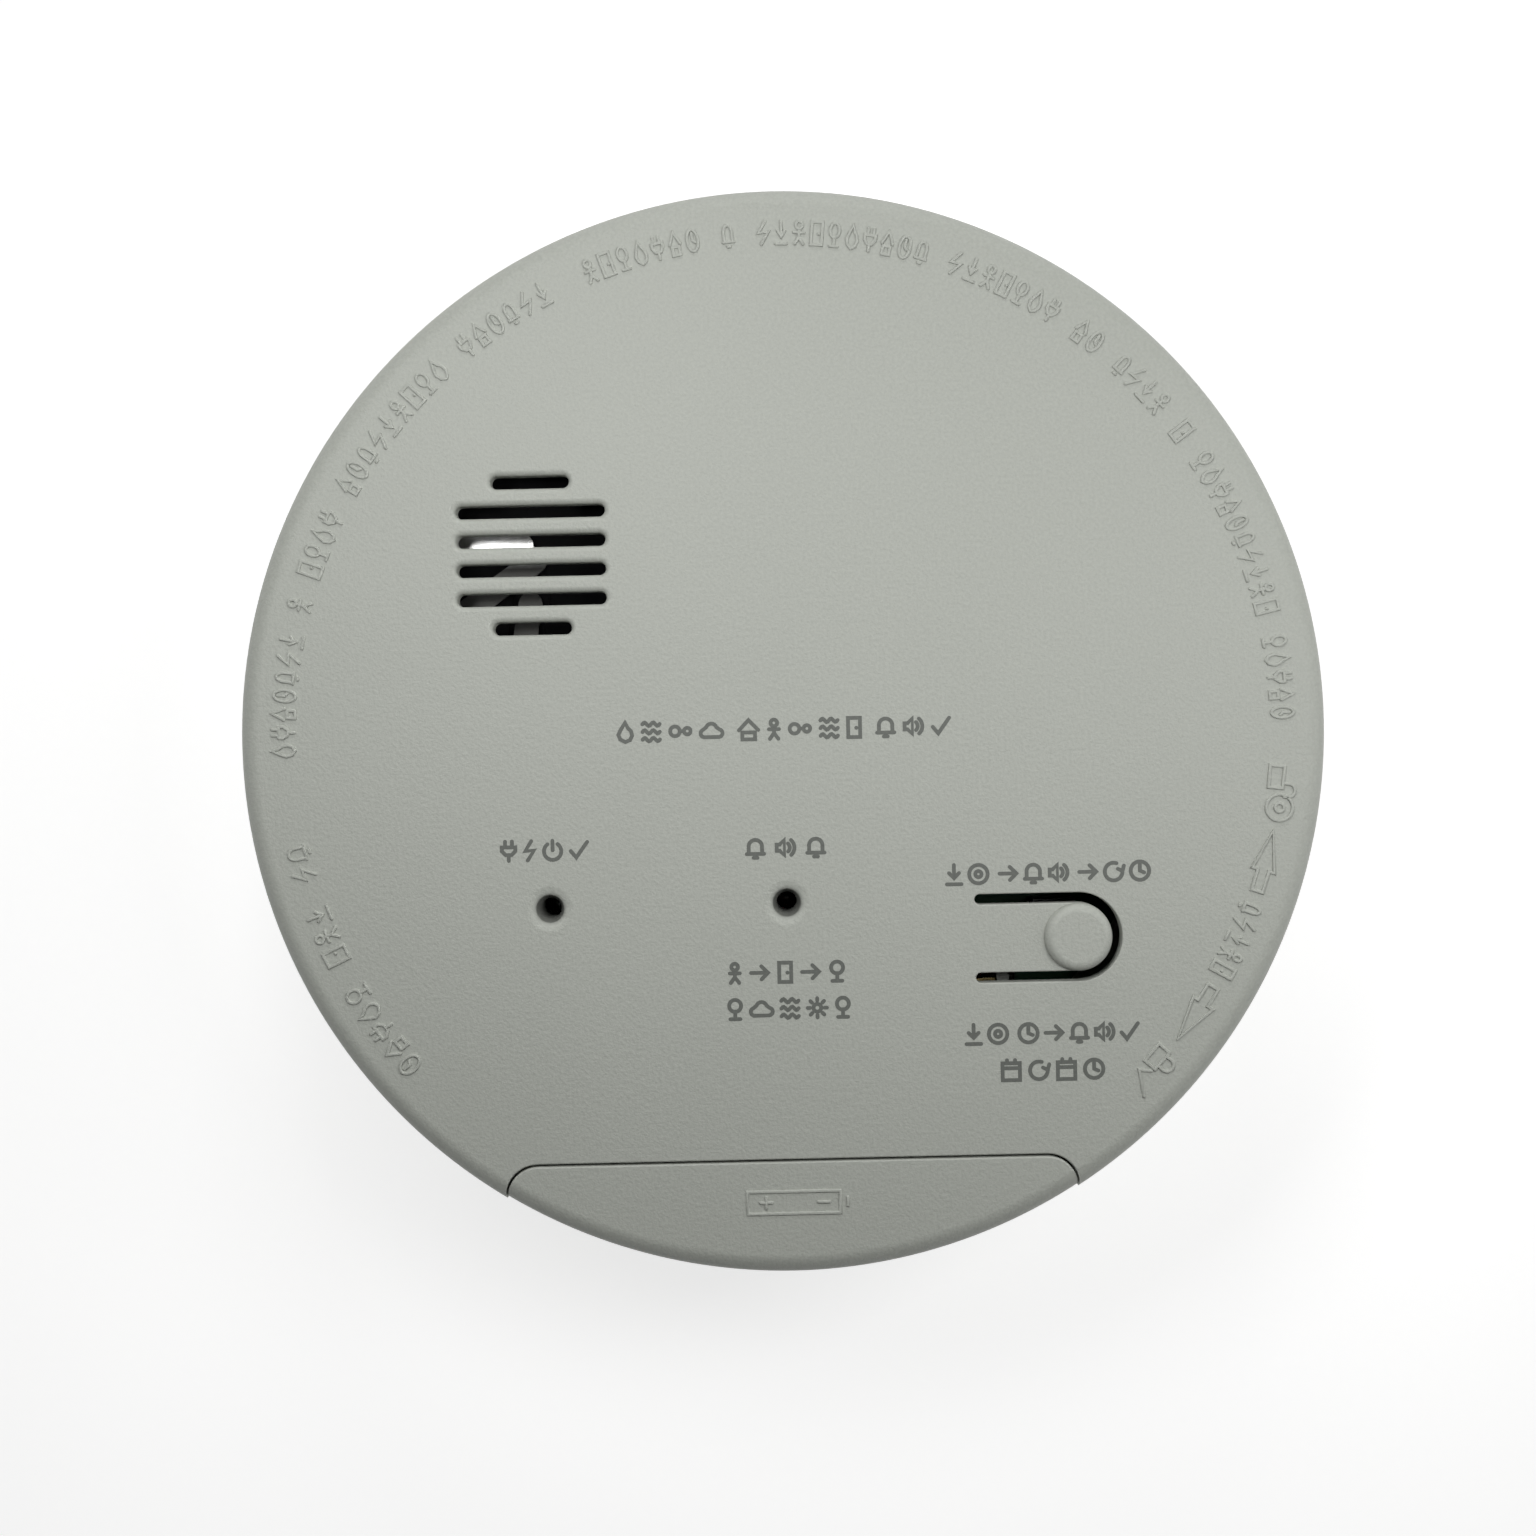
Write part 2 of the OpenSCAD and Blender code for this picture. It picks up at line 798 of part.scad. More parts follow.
module circuit_board() {
    play = 0.05;
    board_r = 54.5;
    board_edge_y = -26.5;
    ear_x = 32.5;
    z = [z_board - 1, z_board_top + 1];
    color(board_green)
        difference() {
            disc([0, 0], board_r, [z_board, z_board_top]);
            block([-60, ear_x], [-60, board_edge_y], z);
            block([-60, 60], [-60, -36.5], z);
            for (p = board_screw_at)
                disc(p, 1.5, z);
            for (p = concat(film_leads, varistor_leads, fuse_leads, diode_leads, can_leads,
                            coil_leads, switch_leads, chip_leads, led_lead_at))
                translate([p[0], p[1], z[0]])
                    cylinder(r = lead_r + play, h = 4, $fn = 16);
            for (p = sensor_lead_at)
                disc(p, 0.55, z);
            for (i = [-1:1])
                disc(inlet_at + [i * inlet_pitch, 0], 0.85, z);
            for (a = horn_contact_angles)
                translate([horn_at[0], horn_at[1], 0])
                    rotate([0, 0, a])
                        block([contact_post_r - 0.1, contact_post_r + leaf_t + 0.1],
                              [-0.7, 0.7], z);
        }
}

module board_screws() {
    color(steel)
        for (p = board_screw_at)
            difference() {
                union() {
                    disc(p, 2.7, [z_board_top, z_board_top + 1.7]);
                    disc(p, 1.2, [11, z_board_top + 0.5]);
                }
                for (turn = [0, 90])
                    translate([p[0], p[1], 0])
                        rotate([0, 0, turn])
                            block([-1.5, 1.5], [-0.35, 0.35],
                                  [z_board_top + 0.8, z_board_top + 3]);
            }
}

// Straight leads, and the shoulders of the parts that lie on the board
module component_leads()
    color(steel) {
        for (p = concat(film_leads, can_leads, coil_leads, switch_leads, chip_leads))
            translate([p[0], p[1], z_lead_end])
                cylinder(r = lead_r, h = z_board_top - z_lead_end, $fn = 16);
        for (p = varistor_leads)
            translate([p[0], p[1], z_lead_end])
                cylinder(r = lead_r, h = varistor_lead, $fn = 16);
        for (p = diode_at)
            bent_leads(p, diode_half, diode_body_half, z_diode);
        bent_leads(fuse_at, fuse_half, fuse_body_half, z_fuse);
    }

// The two leads of a part that lies along Y, each bent down into the board
module bent_leads(at, half, body_half, z)
    for (side = [-1, 1])
        rod([
            [at[0], at[1] + side * body_half, z], [at[0], at[1] + side * half, z],
            [at[0], at[1] + side * half, z_lead_end]
        ], lead_r);

module film_capacitor()
    color([0.75, 0.62, 0.10])
        translate([film_cap_at[0], film_cap_at[1], 0])
            difference() {
                block([-13, 13], [-5, 5], [z_board_top, z_board_top + 17]);
                block([-11, 11], [-3.6, 3.6], [z_board_top - 1, z_board_top + 0.4]);
            }

module surge_varistor() {
    disc_t = 4;
    body_r = 6.2;
    lead_overlap = 1;            // length of the leads inside the coating
    color([0.10, 0.25, 0.55])
        translate([varistor_at[0] - disc_t / 2, varistor_at[1],
                   z_lead_end + varistor_lead + body_r - lead_overlap])
            rotate([0, 90, 0])
                cylinder(r = body_r, h = disc_t);
}

// A round body that lies along Y over the board
module lying_body(at, r, half, z)
    translate([at[0], at[1] - half, z])
        rotate([-90, 0, 0])
            cylinder(r = r, h = 2 * half);

module fuse_resistor()
    color([0.55, 0.62, 0.66])
        lying_body(fuse_at, 2.3, fuse_body_half, z_fuse);

module rectifier_diodes()
    color(black)
        for (p = diode_at)
            lying_body(p, 1.35, diode_body_half, z_diode);

// An electrolytic can: sleeve with the crimp groove near its foot
module can(at, r, h)
    difference() {
        disc(at, r, [z_board_top, z_board_top + h]);
        translate([at[0], at[1], z_board_top + 2])
            rotate_extrude()
                translate([r + 0.3, 0])
                    circle(0.7, $fn = 24);
    }

module smoothing_capacitor()
    color([0.08, 0.10, 0.22])
        can(big_cap_at, 5, 12.5);

module small_capacitors()
    color([0.08, 0.10, 0.22])
        for (p = small_cap_at)
            can(p, 3.15, 8);

module coil_core()
    color([0.25, 0.25, 0.26]) {
        disc(coil_at, 4, [z_board_top, z_board_top + 1.4]);
        disc(coil_at, 2, [z_board_top + 1, z_board_top + 8]);
        disc(coil_at, 4, [z_board_top + 7.6, z_board_top + 9]);
    }

module coil_winding()
    color([0.62, 0.32, 0.14])
        tube(coil_at, 3.6, 2, [z_board_top + 1.4, z_board_top + 7.6]);

module controller_chip()
    color(black)
        translate([controller_at[0], controller_at[1], 0])
            difference() {
                block([-9.9, 9.9], [-4.4, 4.4], [z_board_top, z_board_top + 3.6]);
                disc([-9.9, 0], 1, [z_board_top + 3, z_board_top + 5]);
            }

module amplifier_chip()
    color(black)
        translate([amplifier_at[0], amplifier_at[1], 0])
            block([-2.5, 2.5], [-3, 3], [z_board_top, z_board_top + 1.6]);

// Rows of surface-mounted resistors and capacitors
module chip_parts()
    color([0.45, 0.36, 0.28]) {
        for (i = [0:5])
            translate([-44 + i * 3.6, -14, 0])
                block([-0.45, 0.45], [-0.9, 0.9], [z_board_top, z_board_top + 0.6]);
        for (i = [0:3])
            translate([40 + i * 2.6, 22, 0])
                block([-0.45, 0.45], [-0.9, 0.9], [z_board_top, z_board_top + 0.6]);
        for (i = [0:3])
            translate([34.5, 2 - i * 3.2, 0])
                block([-0.9, 0.9], [-0.45, 0.45], [z_board_top, z_board_top + 0.6]);
    }

// ---- Power inlet ----

module power_inlet_shell() {
    z = [6, z_board];
    cavity = [20, 8];
    z_cavity = 13.6;
    color([0.86, 0.86, 0.82])
        translate([inlet_at[0], inlet_at[1], 0])
            difference() {
                block([-inlet_size[0] / 2, inlet_size[0] / 2],
                      [-inlet_size[1] / 2, inlet_size[1] / 2], z);
                block([-cavity[0] / 2, cavity[0] / 2], [-cavity[1] / 2, cavity[1] / 2],
                      [z[0] - 1, z_cavity]);
                // Keyway that takes the plug's latch
                block([-2.5, 2.5], [0, inlet_size[1]], [z[0] - 1, 8.4]);
                for (i = [-1:1])
                    disc([i * inlet_pitch, 0], 0.85, [z_cavity - 1, z[1] + 1]);
            }
}

module power_inlet_pins()
    color(brass)
        for (i = [-1:1])
            disc(inlet_at + [i * inlet_pitch, 0], 0.8, [10, z_board_top + 1]);

// ---- Horn ----

// The contacts stand beside the cup and reach in over the disc
horn_contact_angles = [215, 260, 80];
contact_post_r = 18;

module horn_cup()
    color(black)
        translate([horn_at[0], horn_at[1], 0])
            difference() {
                disc([0, 0], horn_r, [z_board_top, z_disc + 0.9]);
                disc([0, 0], disc_r - 1.4, [z_board_top + 2, z_disc + 2]);
                disc([0, 0], disc_r + 0.1, [z_disc, z_disc + 2]);
            }

module horn_diaphragm()
    color(black)
        disc(horn_at, disc_r, [z_disc, z_disc + 0.25]);

module horn_ceramic()
    color(black)
        difference() {
            disc(horn_at, 11.5, [z_disc + 0.25, z_disc + 0.5]);
            // The slit round the feedback electrode
            translate([horn_at[0], horn_at[1], 0])
                rotate([0, 0, horn_contact_angles[1]])
                    difference() {
                        stadium_tongue(2.6);
                        stadium_tongue(2.2);
                    }
        }

// Outline of the feedback electrode, from the ceramic's edge inwards
module stadium_tongue(half) {
    z = [z_disc, z_disc + 1];
    block([5, 14], [-half, half], z);
    disc([5, 0], half, z);
}

module horn_contacts() {
    arm_z = [z_disc + 1.2, z_disc + 1.2 + leaf_t];
    reach = [0.5, 6, 13.5];      // radius of each contact point
    touch = [0.5, 0.5, 0.25];    // height of what it touches above the disc's seat
    plate = [10.2, 3.3];         // broad end of the first contact
    plate_at = [-5.6, 1.95];
    color(steel) {
        translate([horn_at[0] + plate_at[0], horn_at[1] + plate_at[1], 0])
            stadium(plate[0], plate[1], arm_z);
        for (i = [0:2])
            translate([horn_at[0], horn_at[1], 0])
                rotate([0, 0, horn_contact_angles[i]]) {
                    block([reach[i], contact_post_r + leaf_t], [-1.6, 1.6], arm_z);
                    block([contact_post_r, contact_post_r + leaf_t], [-1.6, 1.6],
                          [z_board_top, arm_z[1]]);
                    block([contact_post_r, contact_post_r + leaf_t], [-0.6, 0.6],
                          [z_lead_end, z_board_top + 0.1]);
                    disc([reach[i], 0], 1.6, arm_z);
                    disc([reach[i], 0], 0.6, [z_disc + touch[i], arm_z[0] + 0.1]);
                }
    }
}

// ---- Carbon monoxide cell ----

module co_sensor_can()
    color(steel)
        difference() {
            disc(sensor_at, sensor_r, [z_board_top + 1, 35.6]);
            translate([sensor_at[0], sensor_at[1], 33])
                rotate_extrude()
                    translate([sensor_r + 0.4, 0])
                        circle(0.9, $fn = 24);
        }

module co_sensor_cap()
    color([0.20, 0.20, 0.22])
        tube(sensor_at, 7, 1.2, [35.6, 37.2]);

module co_sensor_pins()
    color(brass)
        for (p = sensor_lead_at)
            disc(p, 0.5, [z_lead_end, z_board_top + 1]);

// ---- Indicators ----

module led(at) {
    disc(at, led_r, [28.2, z_led_dome]);
    disc(at, led_r + 0.3, [27.6, 28.3]);
    translate([at[0], at[1], z_led_dome])
        sphere(r = led_r, $fn = 48);
}

module power_led()
    color([0.10, 0.22, 0.12])
        led(power_led_at);

module alarm_led()
    color([0.24, 0.08, 0.08])
        led(alarm_led_at);

module led_spacers()
    color(black)
        difference() {
            for (at = [power_led_at, alarm_led_at])
                disc(at, 2.3, [z_board_top, 27.6]);
            for (p = led_lead_at)
                disc(p, 0.3, [z_board_top - 1, 29]);
        }

module led_leads()
    color(steel)
        for (p = led_lead_at)
            translate([p[0], p[1], z_lead_end])
                cylinder(r = 0.25, h = 27.6 - z_lead_end, $fn = 16);

mounting_bracket();
rear_base();
base_skirt();
twist_ring();
front_cover();
cover_screws();
rating_label();
test_button();
test_switch_base();
test_switch_cover();
test_switch_plunger();
battery_drawer();
battery_case();
battery_top_plate();
battery_positive_terminal();
battery_negative_terminal();
battery_contact_positive();
battery_contact_negative();
battery_wires();
circuit_board();
board_screws();
component_leads();
power_inlet_shell();
power_inlet_pins();
horn_cup();
horn_diaphragm();
horn_ceramic();
horn_contacts();
co_sensor_can();
co_sensor_cap();
co_sensor_pins();
power_led();
alarm_led();
led_spacers();
led_leads();
film_capacitor();
surge_varistor();
fuse_resistor();
rectifier_diodes();
smoothing_capacitor();
small_capacitors();
coil_core();
coil_winding();
controller_chip();
amplifier_chip();
chip_parts();
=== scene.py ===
"""Looks of a round carbon monoxide alarm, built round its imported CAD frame.

Lengths in this file are millimetres unless a name says otherwise; MM turns them into metres.
"""
import json
import math

import bmesh
import bpy
from mathutils import Matrix, Vector


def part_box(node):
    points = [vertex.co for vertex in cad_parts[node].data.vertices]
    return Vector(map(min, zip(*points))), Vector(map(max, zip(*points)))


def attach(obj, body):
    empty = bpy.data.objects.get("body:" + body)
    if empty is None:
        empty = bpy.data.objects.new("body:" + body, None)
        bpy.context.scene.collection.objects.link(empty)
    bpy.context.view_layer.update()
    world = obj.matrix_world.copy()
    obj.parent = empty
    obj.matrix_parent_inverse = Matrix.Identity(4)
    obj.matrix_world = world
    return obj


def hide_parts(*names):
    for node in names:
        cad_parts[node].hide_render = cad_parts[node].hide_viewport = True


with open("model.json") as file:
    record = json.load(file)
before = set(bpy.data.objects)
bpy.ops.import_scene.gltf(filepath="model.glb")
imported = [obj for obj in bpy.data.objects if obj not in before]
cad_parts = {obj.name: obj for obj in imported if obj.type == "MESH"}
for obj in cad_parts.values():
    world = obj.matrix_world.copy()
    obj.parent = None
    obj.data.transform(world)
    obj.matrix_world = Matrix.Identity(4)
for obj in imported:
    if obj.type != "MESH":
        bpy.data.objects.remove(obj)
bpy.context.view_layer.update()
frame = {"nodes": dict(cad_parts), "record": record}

MM = 0.001

# ---- Sizes ----

FACE_R = 71.0            # flat face and rim fillet, out to the side wall
FOOT_R = 72.0            # foot of the drafted side wall
RIM = 2.8                # fillet round the face
WALL = 2.2
EDGE = 0.3               # small radius on moulded edges
ROUND = 288              # segments round the housing
FAR = 90                 # a reach well outside the housing
OVER = 2                 # how far cutters stand over the face

TONGUE = 12.7            # from the button's root to its middle
TONGUE_R = 4.44          # half width of the button's tongue
TONGUE_GAP = 1.32        # gap round the tongue
TONGUE_LIP = 0.2         # rounded edges of that gap

DRAWER_W = 74.6          # width of the drawer's front
DRAWER_Y = 55.7          # from the middle of the face down to the drawer
DRAWER_CORNER = 4.2
DRAWER_GAP = 0.3
DRAWER_LIP = 0.25        # rounded edges of the gap round the drawer
Z_NOTCH = 13.0           # foot of the drawer's opening
TRAY_X = (-28.3, 24.0)
TRAY_Z = (17.0, 18.5)    # underside and top of the tray's floor

FLOOR_Z = (8.5, 10.5)    # floor of the base
LIP_R = 69.4             # lip of the base, inside the cover's foot
LIP_Z = 14
LUG_ANGLES = (90, 210, 330)
LUG_SPAN = 15            # degrees that a twist lug covers
Z_BOARD = 16.0           # underside of the circuit board
BOARD_SCREWS = ((-48, -8), (49, 3), (0, 50.5))
PILLAR_R = 62.6          # circle of the cover's screws
PILLARS = [(PILLAR_R * math.cos(math.radians(a)), PILLAR_R * math.sin(math.radians(a)))
           for a in (28, 152, 208, 332)]

PRINT_STROKE = 0.50      # width of a printed line
PRINT_HEIGHT = 3.0       # height of a printed symbol
RING_R = (63.2, 66.6)    # band of the raised marks round the rim
ROOTED = 0.15            # how deep the raised marks start below the face


def box_mm(node):
    """A CAD node's lowest and highest corners, in mm."""
    low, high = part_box(node)
    return Vector(low) / MM, Vector(high) / MM


def middle(node):
    low, high = box_mm(node)
    return (low + high) / 2


Z_FOOT = box_mm("front_cover")[0].z
Z_FACE = box_mm("front_cover")[1].z
Z_SKIN = Z_FACE - WALL
HORN = middle("horn_diaphragm")
POWER_LED = middle("power_led")
ALARM_LED = middle("alarm_led")
BUTTON = middle("test_switch_plunger")
INLET = middle("power_inlet_shell")
LAMPS = (POWER_LED, ALARM_LED)
LAMP_END = box_mm("alarm_led")[1].z - 2.0      # lower end of the tubes round the lamps


# ---- Mesh forms ----

class Form:
    """A growing mesh of closed shells, in mm."""

    def __init__(self):
        self.points = []
        self.faces = []

    def add(self, points, faces):
        first = len(self.points)
        self.points += [tuple(p) for p in points]
        self.faces += [[first + i for i in face] for face in faces]

    def loft(self, loops, capped=True):
        """Joins loops of equal length; the two ends are capped, or joined when not capped."""
        count = len(loops[0])
        faces = []
        last = len(loops) - 1 if capped else len(loops)
        for k in range(last):
            a = k * count
            b = (k + 1) % len(loops) * count
            faces += [[a + i, a + (i + 1) % count, b + (i + 1) % count, b + i] for i in range(count)]
        if capped:
            top = (len(loops) - 1) * count
            faces += [list(range(count))[::-1], list(range(top, top + count))]
        self.add([p for loop in loops for p in loop], faces)

    def lathe(self, profile, at, closed, segments):
        """Turns (r, z) points about a vertical line; open ends get flat caps."""
        turns = [2 * math.pi * i / segments for i in range(segments)]
        loops = [
            [(at[0] + r * math.cos(t), at[1] + r * math.sin(t), z) for t in turns]
            for r, z in profile
        ]
        self.loft(loops, capped=not closed)

    def prism(self, outline, low, high):
        self.loft([[(x, y, z) for x, y in outline] for z in (low, high)])

    def block(self, x, y, z):
        self.prism([(x[0], y[0]), (x[1], y[0]), (x[1], y[1]), (x[0], y[1])], *z)

    def object(self, name):
        mesh = bpy.data.meshes.new(name)
        mesh.from_pydata([Vector(p) * MM for p in self.points], [], self.faces)
        mesh.validate()
        thing = bpy.data.objects.new(name, mesh)
        bpy.context.scene.collection.objects.link(thing)
        return thing


def arc(cx, cy, r, start, end, steps):
    """Points on an arc, angles in degrees."""
    angles = [math.radians(start + (end - start) * i / steps) for i in range(steps + 1)]
    return [(cx + r * math.cos(a), cy + r * math.sin(a)) for a in angles]


def layered(outline, layers):
    """A closed form whose outline(offset) changes with height; layers are (offset, z)."""
    form = Form()
    form.loft([[(x, y, z) for x, y in outline(offset)] for offset, z in layers])
    return form


def lip_layers(half, edge, surface, bottom, steps=5):
    """Layers of a gap of half width half whose mouth is rounded by a radius of edge."""
    layers = [(half + edge, surface + 1)]
    for i in range(steps + 1):
        t = math.radians(90 * i / steps)
        layers.append((half + edge * (1 - math.sin(t)), surface - edge * (1 - math.cos(t))))
    return layers + [(half, bottom)]


def clean_normals(thing, merge=True):
    """Faces outwards, with smooth shading that stops at real edges."""
    crease = 32
    work = bmesh.new()
    work.from_mesh(thing.data)
    if merge:
        bmesh.ops.remove_doubles(work, verts=work.verts, dist=1e-7)
    bmesh.ops.recalc_face_normals(work, faces=work.faces)
    work.to_mesh(thing.data)
    work.free()
    thing.data.shade_smooth()
    thing.data.set_sharp_from_angle(angle=math.radians(crease))
    weighted = thing.modifiers.new("weighted", "WEIGHTED_NORMAL")
    weighted.keep_sharp = True
    weighted.weight = 100


def combine(thing, forms, operation):
    """Applies one exact boolean with every form."""
    group = bpy.data.collections.new("operands")
    bpy.context.scene.collection.children.link(group)
    operands = []
    for form in forms:
        operand = form.object("operand")
        bpy.context.scene.collection.objects.unlink(operand)
        group.objects.link(operand)
        recalculate(operand)
        operands.append(operand)
    cut = thing.modifiers.new("cut", "BOOLEAN")
    cut.operation = operation
    cut.solver = "EXACT"
    cut.operand_type = "COLLECTION"
    cut.collection = group
    bpy.context.view_layer.update()
    result = bpy.data.meshes.new_from_object(
        thing.evaluated_get(bpy.context.evaluated_depsgraph_get()))
    thing.modifiers.clear()
    old = thing.data
    thing.data = result
    bpy.data.meshes.remove(old)
    for operand in operands:
        bpy.data.objects.remove(operand)
    bpy.data.collections.remove(group)


def recalculate(thing):
    """Turns every face outwards."""
    work = bmesh.new()
    work.from_mesh(thing.data)
    bmesh.ops.recalc_face_normals(work, faces=work.faces)
    work.to_mesh(thing.data)
    work.free()


# ---- Outlines ----

def slot_outline(at, run):
    """Outline of a straight slot along X: a function of its half width."""
    def outline(half):
        return (arc(at[0] + run / 2, at[1], half, -90, 90, 16)
                + arc(at[0] - run / 2, at[1], half, 90, 270, 16))
    return outline


def tongue_gap_outline(half):
    """Outline of the gap round the button's tongue."""
    x, y = BUTTON.x, BUTTON.y
    root = x - TONGUE
    mid = TONGUE_R + TONGUE_GAP / 2
    return (arc(root, y + mid, half, 90, 270, 12)
            + arc(x, y, mid - half, 90, -90, 40)
            + arc(root, y - mid, half, 90, 270, 12)
            + arc(x, y, mid + half, -90, 90, 40))


def drawer_path(offset):
    """The upper edge of the drawer's front, moved outwards by offset, from left to right."""
    half = DRAWER_W / 2 - DRAWER_CORNER
    corner_y = -DRAWER_Y - DRAWER_CORNER
    r = DRAWER_CORNER + offset
    return ([(-half - r, -FAR)] + arc(-half, corner_y, r, 180, 90, 12)
            + arc(half, corner_y, r, 90, 0, 12) + [(half + r, -FAR)])


def drawer_gap_outline(half):
    return drawer_path(half) + drawer_path(-half)[::-1]


# ---- Housing pieces ----

def shell_profile(inset):
    """Section of the front shell, from its inner roof round the foot to its face."""
    steps = 14
    roof_r = FACE_R - WALL - RIM
    inner = arc(roof_r, Z_SKIN - RIM, RIM, 90, 0, steps)
    inner_foot = FOOT_R - WALL - (FOOT_R - FACE_R) * WALL / (Z_SKIN - RIM - Z_FOOT + WALL)
    outer_foot = FOOT_R - inset
    foot = [(inner_foot, Z_FOOT), (outer_foot - EDGE, Z_FOOT), (outer_foot, Z_FOOT + EDGE)]
    outer = arc(FACE_R - inset - RIM, Z_FACE - RIM, RIM, 0, 90, steps)
    return inner + foot + outer


def vent_forms():
    """Cutters for three groups of upright slots in the side wall."""
    vent_r = 1.0
    vent_z = (17.0, 31.0)
    count = 7
    pitch = 3.6
    low, high = vent_z[0] + vent_r, vent_z[1] - vent_r
    section = arc(0, high, vent_r, 0, 180, 10) + arc(0, low, vent_r, 180, 360, 10)
    forms = []
    for group in (0, 90, 180):
        for i in range(count):
            turn = Matrix.Rotation(math.radians(group + pitch * (i - (count - 1) / 2)), 3, "Z")
            form = Form()
            form.loft([
                [turn @ Vector((reach, s, z)) for s, z in section] for reach in (FACE_R - 6, FOOT_R + 3)
            ])
            forms.append(form)
    return forms


def lathed(profile, at=(0, 0), closed=False, segments=96):
    form = Form()
    form.lathe(profile, at, closed, segments)
    return form


def boxed(x, y, z):
    form = Form()
    form.block(x, y, z)
    return form


def ring_profile(inner, outer, low, high):
    return [(inner, low), (outer, low), (outer, high), (inner, high)]


def horn_slots():
    """Cutters for the six slots over the horn; the first and the last are short."""
    count = 6
    pitch = 3.81
    half = 1.65 / 2
    lip = 0.75
    forms = []
    for i in range(count):
        length = 10.2 if i in (0, count - 1) else 19.4
        at = (HORN.x, HORN.y + (i - (count - 1) / 2) * pitch)
        forms.append(layered(slot_outline(at, length - 2 * half),
                             lip_layers(half, lip, Z_FACE, Z_SKIN - 1, 8)))
    return forms


def lamp_wells():
    """Cutters for the lamp wells: a soft dish, a cone, a throat, and room round the lamp."""
    throat_r = 1.35
    room_r = 1.75
    throat = (1.7, 6.5)
    dish = [(3.3, -1), (3.05, 0), (2.8, 0.03), (2.5, 0.10), (2.2, 0.18), (1.95, 0.27), (1.84, 0.35),
            (1.77, 0.48)]
    shaft = [(throat_r, throat[0]), (throat_r, throat[1]), (room_r, throat[1] + 0.01),
             (room_r, Z_FACE - LAMP_END + 1)]
    layers = [(r, Z_FACE - depth) for r, depth in dish + shaft]
    return [layered(lambda r, led=led: arc(led.x, led.y, r, 0, 360, 64)[:-1], layers) for led in LAMPS]


def tongue_forms():
    """Cutters for the button's tongue and the gap round it."""
    mid = TONGUE_R + TONGUE_GAP / 2
    root = BUTTON.x - TONGUE
    tongue = Form()
    tongue.prism([(root, BUTTON.y + mid), (root, BUTTON.y - mid)]
                 + arc(BUTTON.x, BUTTON.y, mid, -90, 90, 40), Z_SKIN - 1, Z_FACE + OVER)
    layers = lip_layers(TONGUE_GAP / 2, TONGUE_LIP, Z_FACE, Z_SKIN - 1, 4)
    return [tongue, layered(tongue_gap_outline, layers)]


def front_shell():
    """The front cover: face, rim, side wall with vents, lamp wells and horn slots."""
    tube_r = 3.2
    collar_low = 36.2
    ledge_x = 33
    ledge_y = (-57.5, -53)
    ledge_z = (38, 39.4)
    in_skin = Z_SKIN + 0.5
    shell = lathed(shell_profile(0), segments=ROUND).object("cover_shell")
    recalculate(shell)
    # Lamp tubes, collar round the horn, and the ledge over the drawer with its web
    horn_r = box_mm("horn_diaphragm")[1].x - HORN.x
    added = [lathed([(tube_r, LAMP_END), (tube_r, in_skin)], (led.x, led.y)) for led in LAMPS]
    added += [
        lathed(ring_profile(horn_r - 0.4, horn_r + 1.2, collar_low, in_skin), (HORN.x, HORN.y),
               closed=True),
        boxed((-ledge_x, ledge_x), ledge_y, ledge_z),
        boxed((-ledge_x, ledge_x), (ledge_y[1] - WALL, ledge_y[1]), (ledge_z[0] + 0.2, in_skin)),
    ]
    combine(shell, added, "UNION")
    roof_zone = Form()
    roof_zone.prism(drawer_path(0), Z_SKIN - 0.4, Z_FACE + OVER)
    drawer_gap = layered(drawer_gap_outline,
                         lip_layers(DRAWER_GAP / 2, DRAWER_LIP, Z_FACE, Z_SKIN - 0.35, 4))
    combine(shell, vent_forms() + [roof_zone] + horn_slots() + lamp_wells() + tongue_forms()
            + [drawer_gap], "DIFFERENCE")
    # Below the roof the drawer's opening leaves the ledge standing
    wall_zone = Form()
    wall_zone.prism(drawer_path(DRAWER_GAP / 2), Z_NOTCH, ledge_z[0] - 0.1)
    combine(shell, [wall_zone], "DIFFERENCE")
    beside = (ledge_z[0] - 0.2, Z_SKIN)
    cuts = []
    for side in (-1, 1):
        x = sorted((side * (ledge_x + 0.3), side * (DRAWER_W + DRAWER_GAP) / 2))
        cuts.append(boxed(x, (-FAR, -DRAWER_Y - DRAWER_CORNER), beside))
    cuts.append(boxed((-ledge_x - 1, ledge_x + 1), (-FAR, ledge_y[0] - 0.1), beside))
    combine(shell, cuts, "DIFFERENCE")
    clean_normals(shell)
    return shell


def finger_scoop():
    """Cutter for a shallow hollow across the drawer's front."""
    r = 9.0
    depth = 1
    half = 20
    rim = arc(-FACE_R - r + depth, 26, r, 0, 360, 96)[:-1]
    scoop = Form()
    scoop.loft([[(x, y, z) for y, z in rim] for x in (-half, half)])
    return scoop


